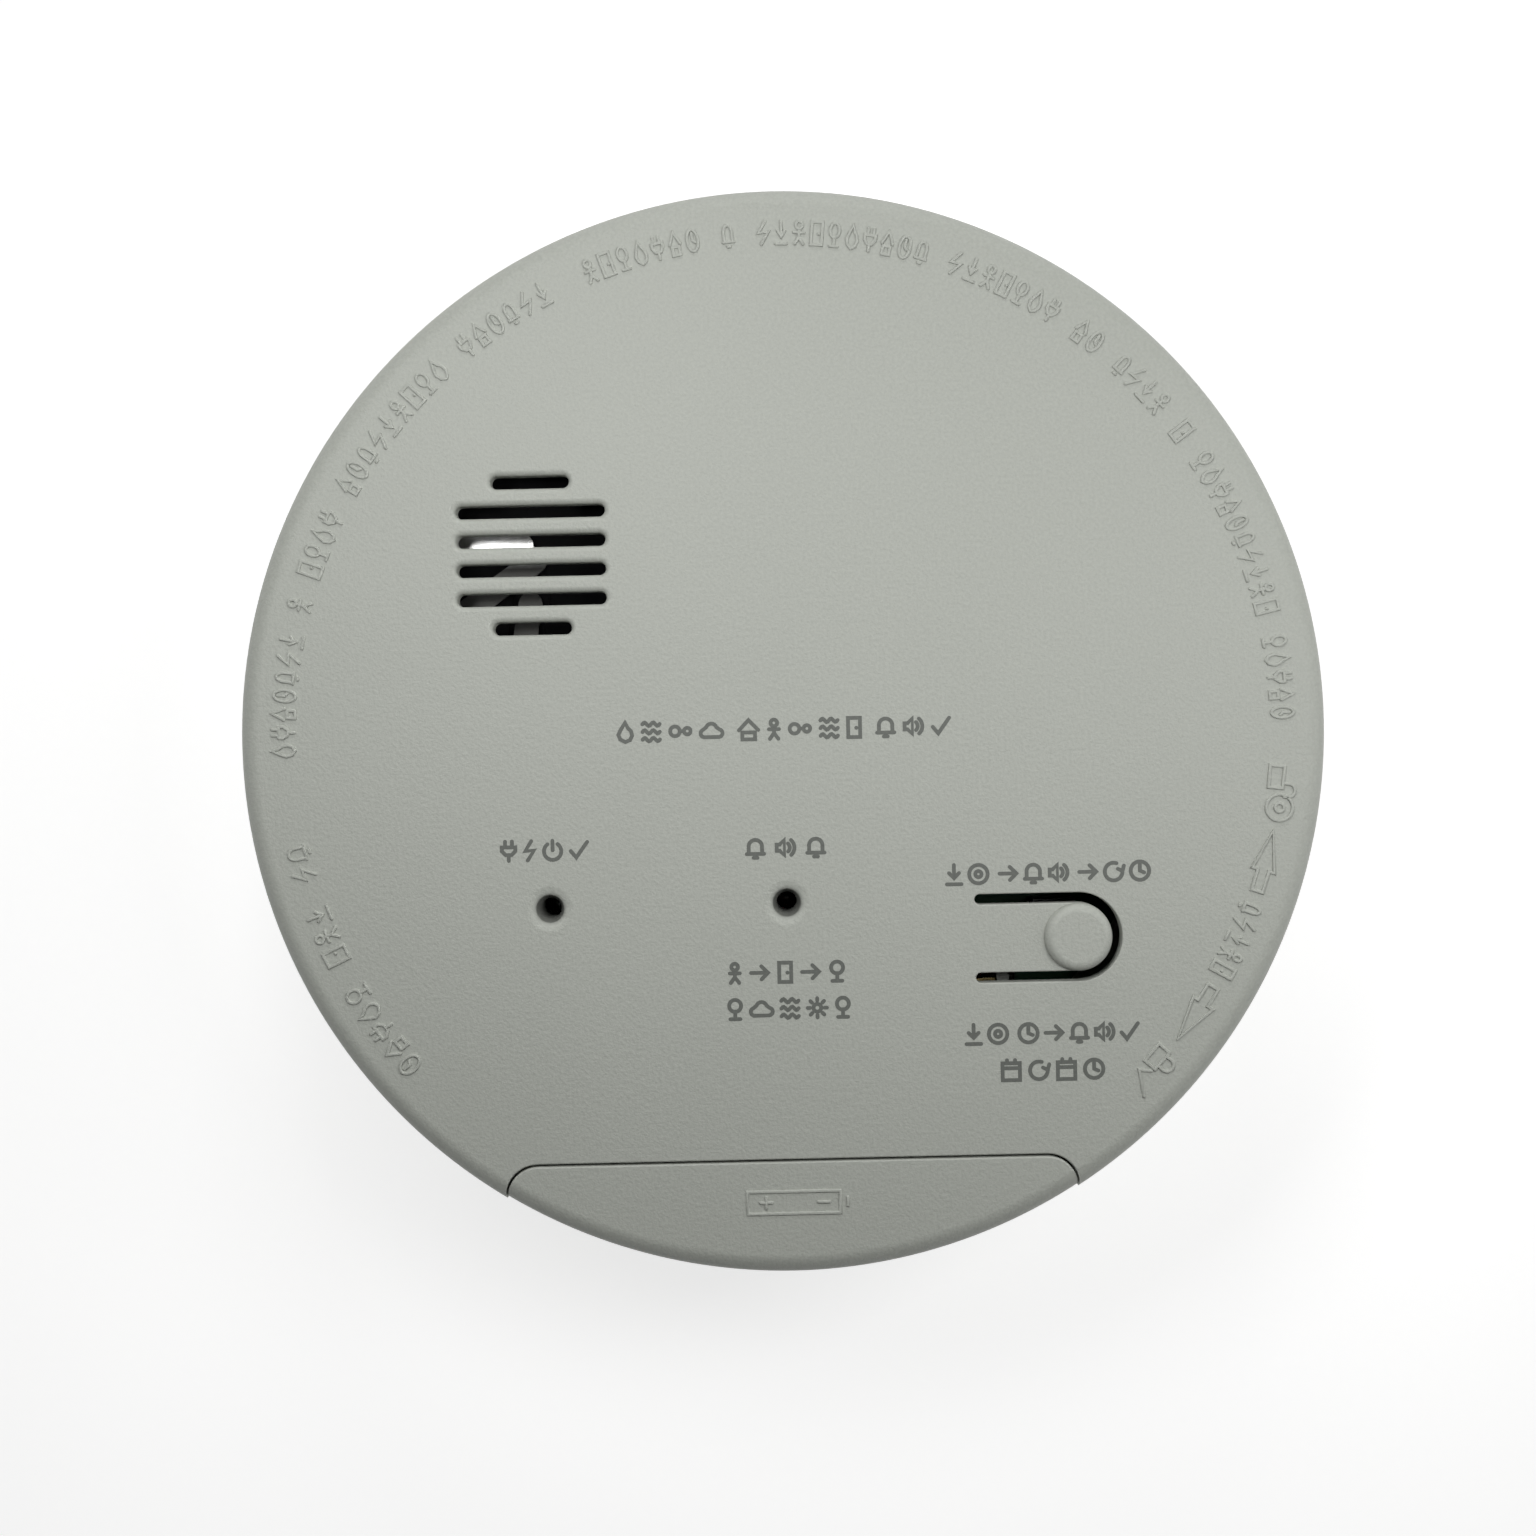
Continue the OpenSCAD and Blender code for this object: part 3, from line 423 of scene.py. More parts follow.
def tray_forms():
    """The drawer's tray: floor, walls round the battery, hook, braces and end posts."""
    case_low, case_high = box_mm("battery_case")
    y_in = box_mm("battery_drawer")[1].y
    left, right = TRAY_X
    low = TRAY_Z[0]
    steps = 24
    front_r = FACE_R - 1
    flange = 1.3
    side_top, back_top, brace_top, post_top = 34, 26, 32, 30
    hook_half, hook_t, hook_low = 10, 2, 14.6
    brace_t = 1.6
    front = [left + (right - left) * i / steps for i in range(steps + 1)]
    floor = Form()
    floor.prism([(left, y_in)] + [(x, -math.sqrt(front_r ** 2 - x ** 2)) for x in front]
                + [(right, y_in)], *TRAY_Z)
    # Small steps keep the faces of joined blocks apart
    forms = [
        floor,
        boxed((left + flange, case_low.x - 0.1), (case_low.y, y_in), (low + 0.2, side_top)),
        boxed((left + flange + 0.1, right - 0.01), (case_high.y + 0.05, y_in - 0.01),
              (low + 0.3, back_top)),
        boxed((-hook_half, hook_half), (y_in - hook_t, y_in - 0.02), (hook_low, low + 0.5)),
    ]
    for x in (-20, 18):
        forms.append(boxed((x, x + brace_t), (-front_r + 4, case_low.y - 0.1), (low + 0.1, brace_top)))
    for y in ((case_low.y - 0.9, case_low.y + 2.5), (-32, y_in - 0.03)):
        forms.append(boxed((case_high.x + 0.9, right - 0.02), y, (low + 0.4, post_top)))
    return forms


def drawer_shell():
    """The drawer: curved front with a finger scoop, and the tray behind it."""
    inset = 0.3
    low = Z_NOTCH + DRAWER_GAP
    shell = lathed(shell_profile(inset), segments=ROUND).object("drawer_shell")
    recalculate(shell)
    zone = Form()
    zone.prism(drawer_path(0), low, Z_FACE + OVER)
    combine(shell, [zone], "INTERSECT")
    gap = layered(drawer_gap_outline, lip_layers(DRAWER_GAP / 2, DRAWER_LIP, Z_FACE, low - 1, 4))
    combine(shell, [gap, finger_scoop()], "DIFFERENCE")
    combine(shell, tray_forms(), "UNION")
    clean_normals(shell)
    return shell


def button_tongue():
    """The tongue with its raised pad and the stem under it."""
    thick = 1.8
    steps = 4
    pad_high = 1.2
    pad_r = TONGUE_R - 0.02
    shoulder_r = 1.2
    stem_r, collar_r = 1.2, 2.2
    stem_top = 30
    root = BUTTON.x - TONGUE
    stem_low = box_mm("test_button")[0].z

    def outline(inset):
        r = TONGUE_R - inset
        return [(root, BUTTON.y + r), (root, BUTTON.y - r)] + arc(BUTTON.x, BUTTON.y, r, -90, 90, 48)

    layers = [(0, Z_FACE - thick)]
    for i in range(steps + 1):
        t = math.radians(90 * i / steps)
        layers.append((TONGUE_LIP * (1 - math.cos(t)), Z_FACE - TONGUE_LIP + TONGUE_LIP * math.sin(t)))
    tongue = layered(outline, layers).object("button_tongue")
    recalculate(tongue)
    pad = [(pad_r, Z_FACE - 1)] + arc(
        pad_r - shoulder_r, Z_FACE + pad_high - shoulder_r, shoulder_r, 2, 90, 14)
    stem = [(stem_r, stem_low), (stem_r, stem_top), (collar_r, stem_top), (collar_r, Z_FACE - 1.2)]
    at = (BUTTON.x, BUTTON.y)
    combine(tongue, [lathed(pad, at, segments=144), lathed(stem, at, segments=48)], "UNION")
    clean_normals(tongue)
    return tongue


def sector(r, span, middle, z):
    """A block between two radii, span degrees wide."""
    start, end = middle - span / 2, middle + span / 2
    form = Form()
    form.prism(arc(0, 0, r[1], start, end, 10) + arc(0, 0, r[0], end, start, 10), *z)
    return form


def spoke(angle, reach, half, z):
    """A radial bar."""
    turn = Matrix.Rotation(math.radians(angle), 2)
    corners = [(reach[0], -half), (reach[1], -half), (reach[1], half), (reach[0], half)]
    form = Form()
    form.prism([turn @ Vector(c) for c in corners], *z)
    return form


def pin(at, r, z):
    return lathed([(r, z[0]), (r, z[1])], at, segments=48)


def rail(x, z, y_in=-31):
    """A bar of the drawer's guides, from y_in out to the base's lip."""
    reach = 62
    bound = LIP_R - WALL - 0.2
    ends = [(px, -min(reach, math.sqrt(bound ** 2 - px ** 2))) for px in x]
    form = Form()
    form.prism([*ends, (x[1], y_in), (x[0], y_in)], *z)
    return form


def drawer_guides(low):
    """Rails that carry and hold the drawer's tray, its stop, and a rib beside the battery."""
    left, right = TRAY_X
    rest_top = TRAY_Z[0] - 0.1
    play = 0.3
    rib_t = 1.6
    left_top, right_top = 20.2, 18.2
    return [
        rail((left + 1.9, left + 1.9 + rib_t), (low, rest_top)),
        rail((right - 2.2, right - 2.2 + rib_t), (low, rest_top)),
        rail((left - play - rib_t, left - play), (low, left_top)),
        rail((left - play - 0.1, left + 1), (TRAY_Z[1] + play, left_top - 0.01), -31.01),
        rail((right + play, right + play + rib_t), (low, right_top)),
        boxed((-10, 10), (-62.5, -62.5 + rib_t), (low, 16.6)),
        boxed((28, 28 + rib_t), (-54, -32), (low, 34)),
    ]


def base_shell():
    """The rear base: floor, skirt, lip, twist ring with lugs, and the drawer's guides."""
    skirt_r = 70.6
    rim_z = box_mm("base_skirt")[0].z
    chamfer = 0.7
    ring_r = (56.5, 58.5)
    lug_r, lug_top = 52.6, 5.2
    stop_span = 3
    pillar_r, pillar_top, pillar_bore = 3.75, 12, 1.7
    sink_r, sink_top = 3, 10.3
    boss_r, boss_bore = 3, 1.25
    inlet_half = (12.2, 6.2)
    wall_r = LIP_R - WALL
    below = FLOOR_Z[0] - 1.5
    profile = [
        (wall_r, FLOOR_Z[1]), (wall_r, LIP_Z - EDGE), (wall_r + EDGE, LIP_Z),
        (LIP_R - EDGE, LIP_Z), (LIP_R, LIP_Z - EDGE), (LIP_R, Z_FOOT), (skirt_r - EDGE, Z_FOOT),
        (skirt_r, Z_FOOT - EDGE), (skirt_r, rim_z + chamfer), (skirt_r - chamfer, rim_z),
        (skirt_r - WALL, rim_z), (skirt_r - WALL, FLOOR_Z[0])]
    shell = lathed(profile, segments=ROUND).object("base_shell")
    recalculate(shell)
    combine(shell, [boxed((-40, 40), (-80, -50), (Z_NOTCH - 0.5, LIP_Z + 1))], "DIFFERENCE")
    in_floor = FLOOR_Z[0] + 0.5
    added = [lathed(ring_profile(*ring_r, rim_z, in_floor), closed=True, segments=192)]
    for angle in LUG_ANGLES:
        added.append(sector((lug_r, ring_r[0] + 1), LUG_SPAN, angle, (rim_z + 0.01, lug_top)))
        added.append(sector((lug_r, ring_r[0] + 1.1), stop_span, angle + LUG_SPAN / 2 + 1.8,
                            (rim_z + 0.02, in_floor)))
    added += [pin(at, pillar_r, (in_floor, pillar_top)) for at in PILLARS]
    added += [pin(at, boss_r, (in_floor, Z_BOARD)) for at in BOARD_SCREWS]
    combine(shell, added + drawer_guides(in_floor), "UNION")
    cuts = [boxed((INLET.x - inlet_half[0], INLET.x + inlet_half[0]),
                  (INLET.y - inlet_half[1], INLET.y + inlet_half[1]), (below, pillar_top))]
    for at in PILLARS:
        cuts += [pin(at, sink_r, (below, sink_top)),
                 pin(at, pillar_bore, (sink_top - 0.1, pillar_top + 1))]
    cuts += [pin(at, boss_bore, (FLOOR_Z[1], Z_BOARD + 1)) for at in BOARD_SCREWS]
    combine(shell, cuts, "DIFFERENCE")
    clean_normals(shell)
    return shell


def bracket_shell():
    """The wall bracket: plate with rims, collar with lugs, spokes, slots and holes."""
    top = box_mm("mounting_bracket")[1].z
    inner_r, outer_r = 30, 62
    rim_t, rim_z = 2, 3.4
    collar_r = (50, 52)
    hub_r, hub_z = 31.8, 4.2
    lug_z, lug_out = 5.6, 55.9
    spoke_half = 0.8
    through = (-1, 3)
    slot_at, slot_long, slot_wide = 39.7, 14, 4.5
    hole_at, hole_r = 40, 2.3
    profile = [
        (inner_r, EDGE), (inner_r + EDGE, 0), (outer_r - EDGE, 0), (outer_r, EDGE),
        (outer_r, rim_z - EDGE), (outer_r - EDGE, rim_z),
        (outer_r - rim_t + EDGE, rim_z), (outer_r - rim_t, rim_z - EDGE), (outer_r - rim_t, WALL),
        (collar_r[1], WALL), (collar_r[1], top - EDGE), (collar_r[1] - EDGE, top),
        (collar_r[0] + EDGE, top), (collar_r[0], top - EDGE), (collar_r[0], WALL),
        (hub_r, WALL), (hub_r, hub_z), (inner_r, hub_z)]
    shell = lathed(profile, closed=True, segments=ROUND).object("bracket_shell")
    recalculate(shell)
    added = [sector((collar_r[1] - 1, lug_out), LUG_SPAN, angle, (lug_z, top - 0.01))
             for angle in LUG_ANGLES]
    added += [spoke(angle, (hub_r - 0.8, collar_r[0] + 1), spoke_half, (0.4, hub_z - 0.01))
              for angle in range(30, 360, 30) if angle % 90]
    combine(shell, added, "UNION")
    cuts = [sector((collar_r[1] + 0.3, lug_out + 0.3), LUG_SPAN, angle, through) for angle in LUG_ANGLES]
    for side in (-1, 1):
        slot = Form()
        slot.prism(slot_outline((side * slot_at, 0), slot_long - slot_wide)(slot_wide / 2), *through)
        cuts += [slot, pin((0, side * hole_at), hole_r, through)]
    combine(shell, cuts, "DIFFERENCE")
    clean_normals(shell)
    return shell


def lamp_lens(node):
    """A round-topped lamp with a collar at its foot."""
    low, high = box_mm(node)
    at = middle(node)
    collar_r = (high.x - low.x) / 2
    collar_top = low.z + 0.7
    lens_r = collar_r - 0.3
    profile = [(collar_r, low.z), (collar_r, collar_top), (lens_r, collar_top)]
    profile += arc(0, high.z - lens_r, lens_r, 0, 88, 16)
    lens = lathed(profile, (at.x, at.y), segments=48).object(node + "_lens")
    clean_normals(lens)
    return lens


# ---- Marks on the face ----

def sweep(form, path, half, low, high, soft=False, closed=False):
    """Runs a bead along (x, y) points, with round ends; a soft bead has a rounded top."""
    if soft:
        crown = min(half, high - low) * 0.7
        top = [(half - crown + crown * math.cos(math.radians(a)),
                high - crown + crown * math.sin(math.radians(a))) for a in (0, 30, 60, 90)]
    else:
        top = [(half, high)]
    section = [(half, low)] + top + [(-u, z) for u, z in top[::-1]] + [(-half, low)]
    points = [Vector(p[:2]) for p in path]
    loops = []

    def station(at, side, width=1.0, height=1.0):
        loops.append([(at.x + side.x * u * width, at.y + side.y * u * width,
                       low + (z - low) * height) for u, z in section])

    def end(at, outward, order):
        side = Vector((-outward.y, outward.x)) * (1 if order > 0 else -1)
        for angle in (28, 56, 80)[::order]:
            turn = math.radians(angle)
            station(at + outward * half * math.sin(turn), side, math.cos(turn),
                    0.35 + 0.65 * math.cos(turn) if soft else 1.0)

    count = len(points)
    if not closed:
        end(points[0], (points[0] - points[1]).normalized(), -1)
    for i, at in enumerate(points):
        before = (at - points[i - 1]).normalized() if closed or i > 0 else None
        after = (points[(i + 1) % count] - at).normalized() if closed or i < count - 1 else None
        along = ((before or after) + (after or before)).normalized()
        edge = after or before
        side = Vector((-along.y, along.x))
        mitre = 1 / max(0.55, side.dot(Vector((-edge.y, edge.x))))
        station(at, side * mitre)
    if not closed:
        end(points[-1], (points[-1] - points[-2]).normalized(), 1)
    form.loft(loops, capped=not closed)


def circle(cx, cy, r):
    return arc(cx, cy, r, 0, 360, 22)[:-1]


def wave(y):
    """Two periods of a low wave."""
    width = 0.9
    swing = 0.09
    steps = 14
    return [(width * i / steps, y + swing * math.sin(4 * math.pi * i / steps)) for i in range(steps + 1)]


# Symbols as (width, open strokes, closed strokes), one unit high
SYMBOLS = {
    "flame": (0.72, [], [[(0.36, 0), (0.1, 0.14), (0.0, 0.38), (0.12, 0.62), (0.36, 1.0), (0.5, 0.72),
                          (0.66, 0.56), (0.72, 0.32), (0.6, 0.1)]]),
    "waves": (0.9, [wave(0.1), wave(0.5), wave(0.9)], []),
    "molecule": (1.06, [[(0.5, 0.5), (0.72, 0.5)]], [circle(0.25, 0.5, 0.25), circle(0.89, 0.5, 0.17)]),
    "house": (1.0, [[(0, 0.48), (0.5, 1), (1, 0.48)]],
              [[(0.17, 0.36), (0.17, 0), (0.83, 0), (0.83, 0.36)]]),
    "person": (0.56, [[(0.28, 0.6), (0.28, 0.3)], [(0.02, 0.5), (0.54, 0.5)],
                      [(0.06, 0), (0.28, 0.3), (0.5, 0)]],
               [circle(0.28, 0.83, 0.17)]),
    "bell": (0.9, [[(0, 0.2), (0.9, 0.2)], [(0.35, 0), (0.55, 0)],
                   [(0.1, 0.2)] + arc(0.45, 0.58, 0.35, 190, -10, 12) + [(0.8, 0.2)]], []),
    "sound": (0.92, [arc(0.4, 0.5, 0.28, -48, 48, 8), arc(0.4, 0.5, 0.52, -48, 48, 10)],
              [[(0, 0.34), (0, 0.66), (0.16, 0.66), (0.4, 0.9), (0.4, 0.1), (0.16, 0.34)]]),
    "plug": (0.7, [[(0.17, 0.72), (0.17, 1)], [(0.53, 0.72), (0.53, 1)], [(0.35, 0.3), (0.35, 0)]],
             [[(0, 0.7), (0.7, 0.7), (0.7, 0.5), (0.5, 0.3), (0.2, 0.3), (0, 0.5)]]),
    "bolt": (0.5, [[(0.34, 1), (0.02, 0.48), (0.48, 0.52), (0.14, 0)]], []),
    "power": (0.9, [arc(0.45, 0.45, 0.45, 125, 415, 22), [(0.45, 0.5), (0.45, 1)]], []),
    "arrow": (0.9, [[(0, 0.5), (0.88, 0.5)], [(0.54, 0.84), (0.88, 0.5), (0.54, 0.16)]], []),
    "door": (0.62, [[(0.42, 0.48), (0.43, 0.48)]], [[(0, 0), (0, 1), (0.62, 1), (0.62, 0)]]),
    "tree": (0.72, [[(0.36, 0.4), (0.36, 0)], [(0.1, 0), (0.62, 0)]], [circle(0.36, 0.69, 0.31)]),
    "cloud": (1.1, [], [[(0.16, 0.16), (0.94, 0.16)] + arc(0.92, 0.36, 0.2, -80, 80, 8)
                        + arc(0.54, 0.58, 0.28, 20, 160, 8) + arc(0.18, 0.36, 0.2, 110, 250, 8)]),
    "sun": (1.0, [[(0.5 + 0.38 * math.cos(a), 0.5 + 0.38 * math.sin(a)),
                   (0.5 + 0.5 * math.cos(a), 0.5 + 0.5 * math.sin(a))]
                  for a in [math.pi * i / 4 for i in range(8)]], [circle(0.5, 0.5, 0.2)]),
    "press": (0.76, [[(0.38, 1), (0.38, 0.34)], [(0.12, 0.58), (0.38, 0.32), (0.64, 0.58)],
                     [(0, 0), (0.76, 0)]], []),
    "button": (0.96, [], [circle(0.48, 0.5, 0.48), circle(0.48, 0.5, 0.16)]),
    "repeat": (0.96, [arc(0.48, 0.48, 0.46, 70, 370, 24), [(0.7, 0.62), (0.94, 0.5), (1.02, 0.78)]],
               []),
    "clock": (0.96, [[(0.48, 0.82), (0.48, 0.5), (0.7, 0.4)]], [circle(0.48, 0.5, 0.48)]),
    "tick": (0.86, [[(0, 0.44), (0.28, 0.1), (0.86, 0.9)]], []),
    "calendar": (0.9, [[(0, 0.62), (0.9, 0.62)], [(0.24, 0.88), (0.24, 1.04)],
                       [(0.66, 0.88), (0.66, 1.04)]],
                 [[(0, 0), (0.9, 0), (0.9, 0.88), (0, 0.88)]]),
    "open_lock": (1.1, [[(0.62, 0.54)] + arc(0.86, 0.74, 0.24, 180, 0, 10) + [(1.1, 0.6)]],
                  [[(0, 0), (0.8, 0), (0.8, 0.52), (0, 0.52)]]),
    "closed_lock": (0.8, [[(0.18, 0.5)] + arc(0.4, 0.72, 0.24, 180, 0, 10) + [(0.62, 0.5)]],
                    [[(0, 0), (0.8, 0), (0.8, 0.5), (0, 0.5)]]),
}

# Rows of printed symbols: middle, width, groups
PRINTED_ROWS = [
    ((0.1, 0.4), 43.5, [["flame", "waves", "molecule", "cloud"],
                        ["house", "person", "molecule", "waves", "door"], ["bell", "sound", "tick"]]),
    ((-31.3, -14.7), 11.6, [["plug", "bolt", "power", "tick"]]),
    ((0.0, -15.0), 10.6, [["bell", "sound", "bell"]]),
    ((-0.2, -31.2), 15.4, [["person", "arrow", "door", "arrow", "tree"]]),
    ((0.0, -35.9), 16.3, [["tree", "cloud", "waves", "sun", "tree"]]),
    ((34.0, -19.0), 26.8, [["press", "button"], ["arrow", "bell", "sound"],
                           ["arrow", "repeat", "clock"]]),
    ((34.1, -39.8), 22.8, [["press", "button"], ["clock", "arrow", "bell", "sound", "tick"]]),
    ((34.1, -44.6), 13.6, [["calendar", "repeat", "calendar", "clock"]]),
]


def draw_symbol(form, name, size, to_face, half, low, high, soft=False):
    """Sweeps the strokes of a symbol; each stands a hair above the last so no two tops meet."""
    step = 0.0012
    _, lines, rings = SYMBOLS[name]
    for k, (path, closed) in enumerate([(p, False) for p in lines] + [(p, True) for p in rings]):
        sweep(form, [to_face(x * size, y * size) for x, y in path], half, low, high + k * step,
              soft, closed)


def printed_marks():
    """Rows of small printed symbols on the face."""
    low = Z_FACE - 0.02
    high = Z_FACE + 0.022
    half = PRINT_STROKE / 2
    size = PRINT_HEIGHT - PRINT_STROKE
    form = Form()
    for (cx, cy), width, groups in PRINTED_ROWS:
        names = [name for group in groups for name in group]
        filled = sum(SYMBOLS[name][0] * size + PRINT_STROKE for name in names)
        gap = (width - filled) / (len(names) - len(groups) + 2 * (len(groups) - 1))
        x = cx - width / 2 + half
        for group in groups:
            for name in group:
                draw_symbol(form, name, size, lambda u, v, x=x: (x + u, cy - size / 2 + v),
                            half, low, high)
                x += SYMBOLS[name][0] * size + PRINT_STROKE + gap
            x += gap
    marks = form.object("printed_symbols")
    clean_normals(marks, merge=False)
    return marks


def polar(r, degrees):
    a = math.radians(degrees)
    return (r * math.cos(a), r * math.sin(a))


# Raised symbols round the rim: first angle, last angle, number in each group
RING_RUNS = [
    (182.0, 116.5, (7, 1, 4, 9, 6)),
    (112.5, 0.0, (7, 1, 10, 7, 2, 4, 1, 10, 5)),
    (191.6, 221.7, (2, 3, 5)),
    (-21.0, -30.6, (5,)),
]
RING_SYMBOLS = ["flame", "person", "bell", "plug", "door", "bolt", "house", "tree", "press", "clock"]


def ring_symbol(form, name, angle, size, fit, half, low, high):
    """Raises a symbol on the rim, its top outwards; fit squeezes its width."""
    up = Vector(polar(1, angle))
    right = Vector((up.y, -up.x))
    corner = up * (RING_R[0] + half) - right * (SYMBOLS[name][0] * size * fit / 2)
    draw_symbol(form, name, size, lambda u, v: corner + right * (u * fit) + up * v,
                half, low, high, True)


def ring_marks():
    """Raised symbols, two outline arrows and two padlocks round the rim."""
    half = 0.21
    low = Z_FACE - ROOTED
    high = Z_FACE + 0.24
    apart = 0.5
    enlarged = 1.2
    middle_r = sum(RING_R) / 2
    size = RING_R[1] - RING_R[0] - 2 * half
    form = Form()
    order = 0
    for first, last, groups in RING_RUNS:
        pitch = (last - first) / (sum(groups) + len(groups) - 1)
        room = math.radians(abs(pitch)) * middle_r - 2 * half - apart
        angle = first + pitch / 2
        for count in groups:
            for _ in range(count):
                # Every third symbol in turn, so that neighbours differ
                name = RING_SYMBOLS[order * 3 % len(RING_SYMBOLS)]
                order += 1
                fit = min(1.0, room / (SYMBOLS[name][0] * size))
                ring_symbol(form, name, angle, size, fit, half, low, high)
                angle += pitch
            angle += pitch
    for name, angle in (("open_lock", -6.9), ("button", -9.9), ("closed_lock", -42.2), ("tick", -45.2)):
        ring_symbol(form, name, angle, size * enlarged, 1.0, half, low, high)
    wide, narrow = 1.5, 0.75
    for tail, neck, tip in ((-19.8, -17.3, -12.7), (-31.9, -34.1, -39.1)):
        outline = [(narrow, tail), (narrow, neck), (wide, neck), (0, tip), (-wide, neck),
                   (-narrow, neck), (-narrow, tail)]
        sweep(form, [polar(middle_r + u, angle) for u, angle in outline], half, low, high, True, True)
    marks = form.object("ring_marks")
    clean_normals(marks, merge=False)
    return marks


def drawer_mark():
    """A raised battery sign on the drawer's front."""
    half = 0.22
    low, high = Z_FACE - ROOTED, Z_FACE + 0.2
    x, y = 0.6, -61.1
    wide, tall = 13.4 / 2 - half, 3.3 / 2 - half
    body = wide - 0.95
    nub = 0.55
    arm = 0.75
    form = Form()
    sweep(form, [(x - wide, y - tall), (x + body, y - tall), (x + body, y + tall), (x - wide, y + tall)],
          half, low, high, True, True)
    sweep(form, [(x + wide, y - nub), (x + wide, y + nub)], half, low, high, True)
    # The two arms of the plus, then the minus
    for k, (offset, turned) in enumerate(((-4.1, True), (-4.1, False), (3.4, False))):
        d = Vector((0, arm)) if turned else Vector((arm, 0))
        at = Vector((x + offset, y))
        sweep(form, [at - d, at + d], half, low, high - 0.002 * (k + 1), True)
    mark = form.object("drawer_mark")
    clean_normals(mark, merge=False)
    return mark


# ---- Materials ----

def srgb(r, g, b):
    """Linear colour from 0-255 display values."""
    def channel(v):
        v /= 255
        return v / 12.92 if v <= 0.04045 else ((v + 0.055) / 1.055) ** 2.4
    return (channel(r), channel(g), channel(b), 1)


class Shader:
    """A small helper for building one node material."""

    def __init__(self, name):
        self.material = bpy.data.materials.new(name)
        self.material.use_nodes = True
        self.tree = self.material.node_tree
        self.bsdf = self.tree.nodes["Principled BSDF"]
        self.coords = self.tree.nodes.new("ShaderNodeTexCoord").outputs["Object"]

    def node(self, kind, inputs=None, **settings):
        made = self.tree.nodes.new(kind)
        for key, value in settings.items():
            setattr(made, key, value)
        for key, value in (inputs or {}).items():
            self.plug(value, made.inputs[key])
        return made

    def plug(self, value, socket):
        if isinstance(value, bpy.types.NodeSocket):
            self.tree.links.new(value, socket)
        else:
            socket.default_value = value

    def stretched(self, scale):
        """Object coordinates scaled per axis."""
        return self.node("ShaderNodeVectorMath", {0: self.coords, 1: scale},
                         operation="MULTIPLY").outputs[0]

    def noise(self, size_mm, detail=2.0, rough=0.5, coords=None):
        return self.node("ShaderNodeTexNoise", {
            "Vector": coords or self.coords, "Scale": 1 / (size_mm * MM),
            "Detail": detail, "Roughness": rough}).outputs["Fac"]

    def ramp(self, value, low, high, from_low=0.0, from_high=1.0):
        return self.node("ShaderNodeMapRange", {
            "Value": value, "From Min": from_low, "From Max": from_high,
            "To Min": low, "To Max": high}).outputs["Result"]

    def mix(self, factor, a, b):
        made = self.tree.nodes.new("ShaderNodeMix")
        made.data_type = "RGBA"
        self.plug(factor, made.inputs[0])
        self.plug(a, made.inputs[6])
        self.plug(b, made.inputs[7])
        return made.outputs[2]

    def math(self, operation, a, b=0.0):
        return self.node("ShaderNodeMath", {0: a, 1: b}, operation=operation).outputs[0]

    def bump(self, height, strength, distance_mm):
        return self.node("ShaderNodeBump", {
            "Height": height, "Strength": strength, "Distance": distance_mm * MM}).outputs["Normal"]

    def finish(self, color, rough, normal=None, **constants):
        self.plug(color, self.bsdf.inputs["Base Color"])
        self.plug(rough, self.bsdf.inputs["Roughness"])
        if normal is not None:
            self.plug(normal, self.bsdf.inputs["Normal"])
        for key, value in constants.items():
            self.bsdf.inputs[key.replace("_", " ")].default_value = value
        return self.material


def shade(color, factor):
    return tuple(c * factor for c in color[:3]) + (1,)


def well_shade_mask(s):
    """How much painted shade a point gets down a lamp well: 0 on the face, 1 below the well's dish."""
    well_r = 2.6
    dish = (0.15, 0.5)
    height = s.node("ShaderNodeSeparateXYZ", {"Vector": s.coords}).outputs["Z"]
    flat = s.stretched((1, 1, 0))
    near = [s.math("LESS_THAN", s.node("ShaderNodeVectorMath", {
        0: flat, 1: (led.x * MM, led.y * MM, 0)}, operation="DISTANCE").outputs["Value"], well_r * MM)
        for led in LAMPS]
    depth = s.ramp(height, 0.0, 1.0, (Z_FACE - dish[0]) * MM, (Z_FACE - dish[1]) * MM)
    return s.math("MULTIPLY", depth, s.math("ADD", *near))


def grained_plastic(name, color, grain=1.0):
    """Moulded plastic with a fine spark-eroded grain, and painted shade down the lamp wells."""
    s = Shader(name)
    fine = s.noise(0.42, 3.0, 0.6)
    coarse = s.noise(1.1, 2.0, 0.5)
    cloud = s.noise(18, 2.0, 0.5)
    tone = s.mix(s.ramp(cloud, 0.0, 1.0, 0.3, 0.7), shade(color, 0.985), shade(color, 1.015))
    speck = s.mix(s.ramp(fine, 0.0, 1.0, 0.35, 0.65), shade(color, 0.91), shade(color, 1.08))
    # Painted shade: the colour darkens to 0.36 within 2.6 mm of each lamp's axis, below the face
    mixed = s.mix(well_shade_mask(s), s.mix(0.6, tone, speck), shade(color, 0.36))
    height = s.math("ADD", s.math("MULTIPLY", fine, 0.65), s.math("MULTIPLY", coarse, 0.35))
    normal = s.bump(height, 0.9 * grain, 0.13)
    return s.finish(mixed, s.ramp(fine, 0.47, 0.60, 0.3, 0.7), normal, Specular_IOR_Level=0.4)


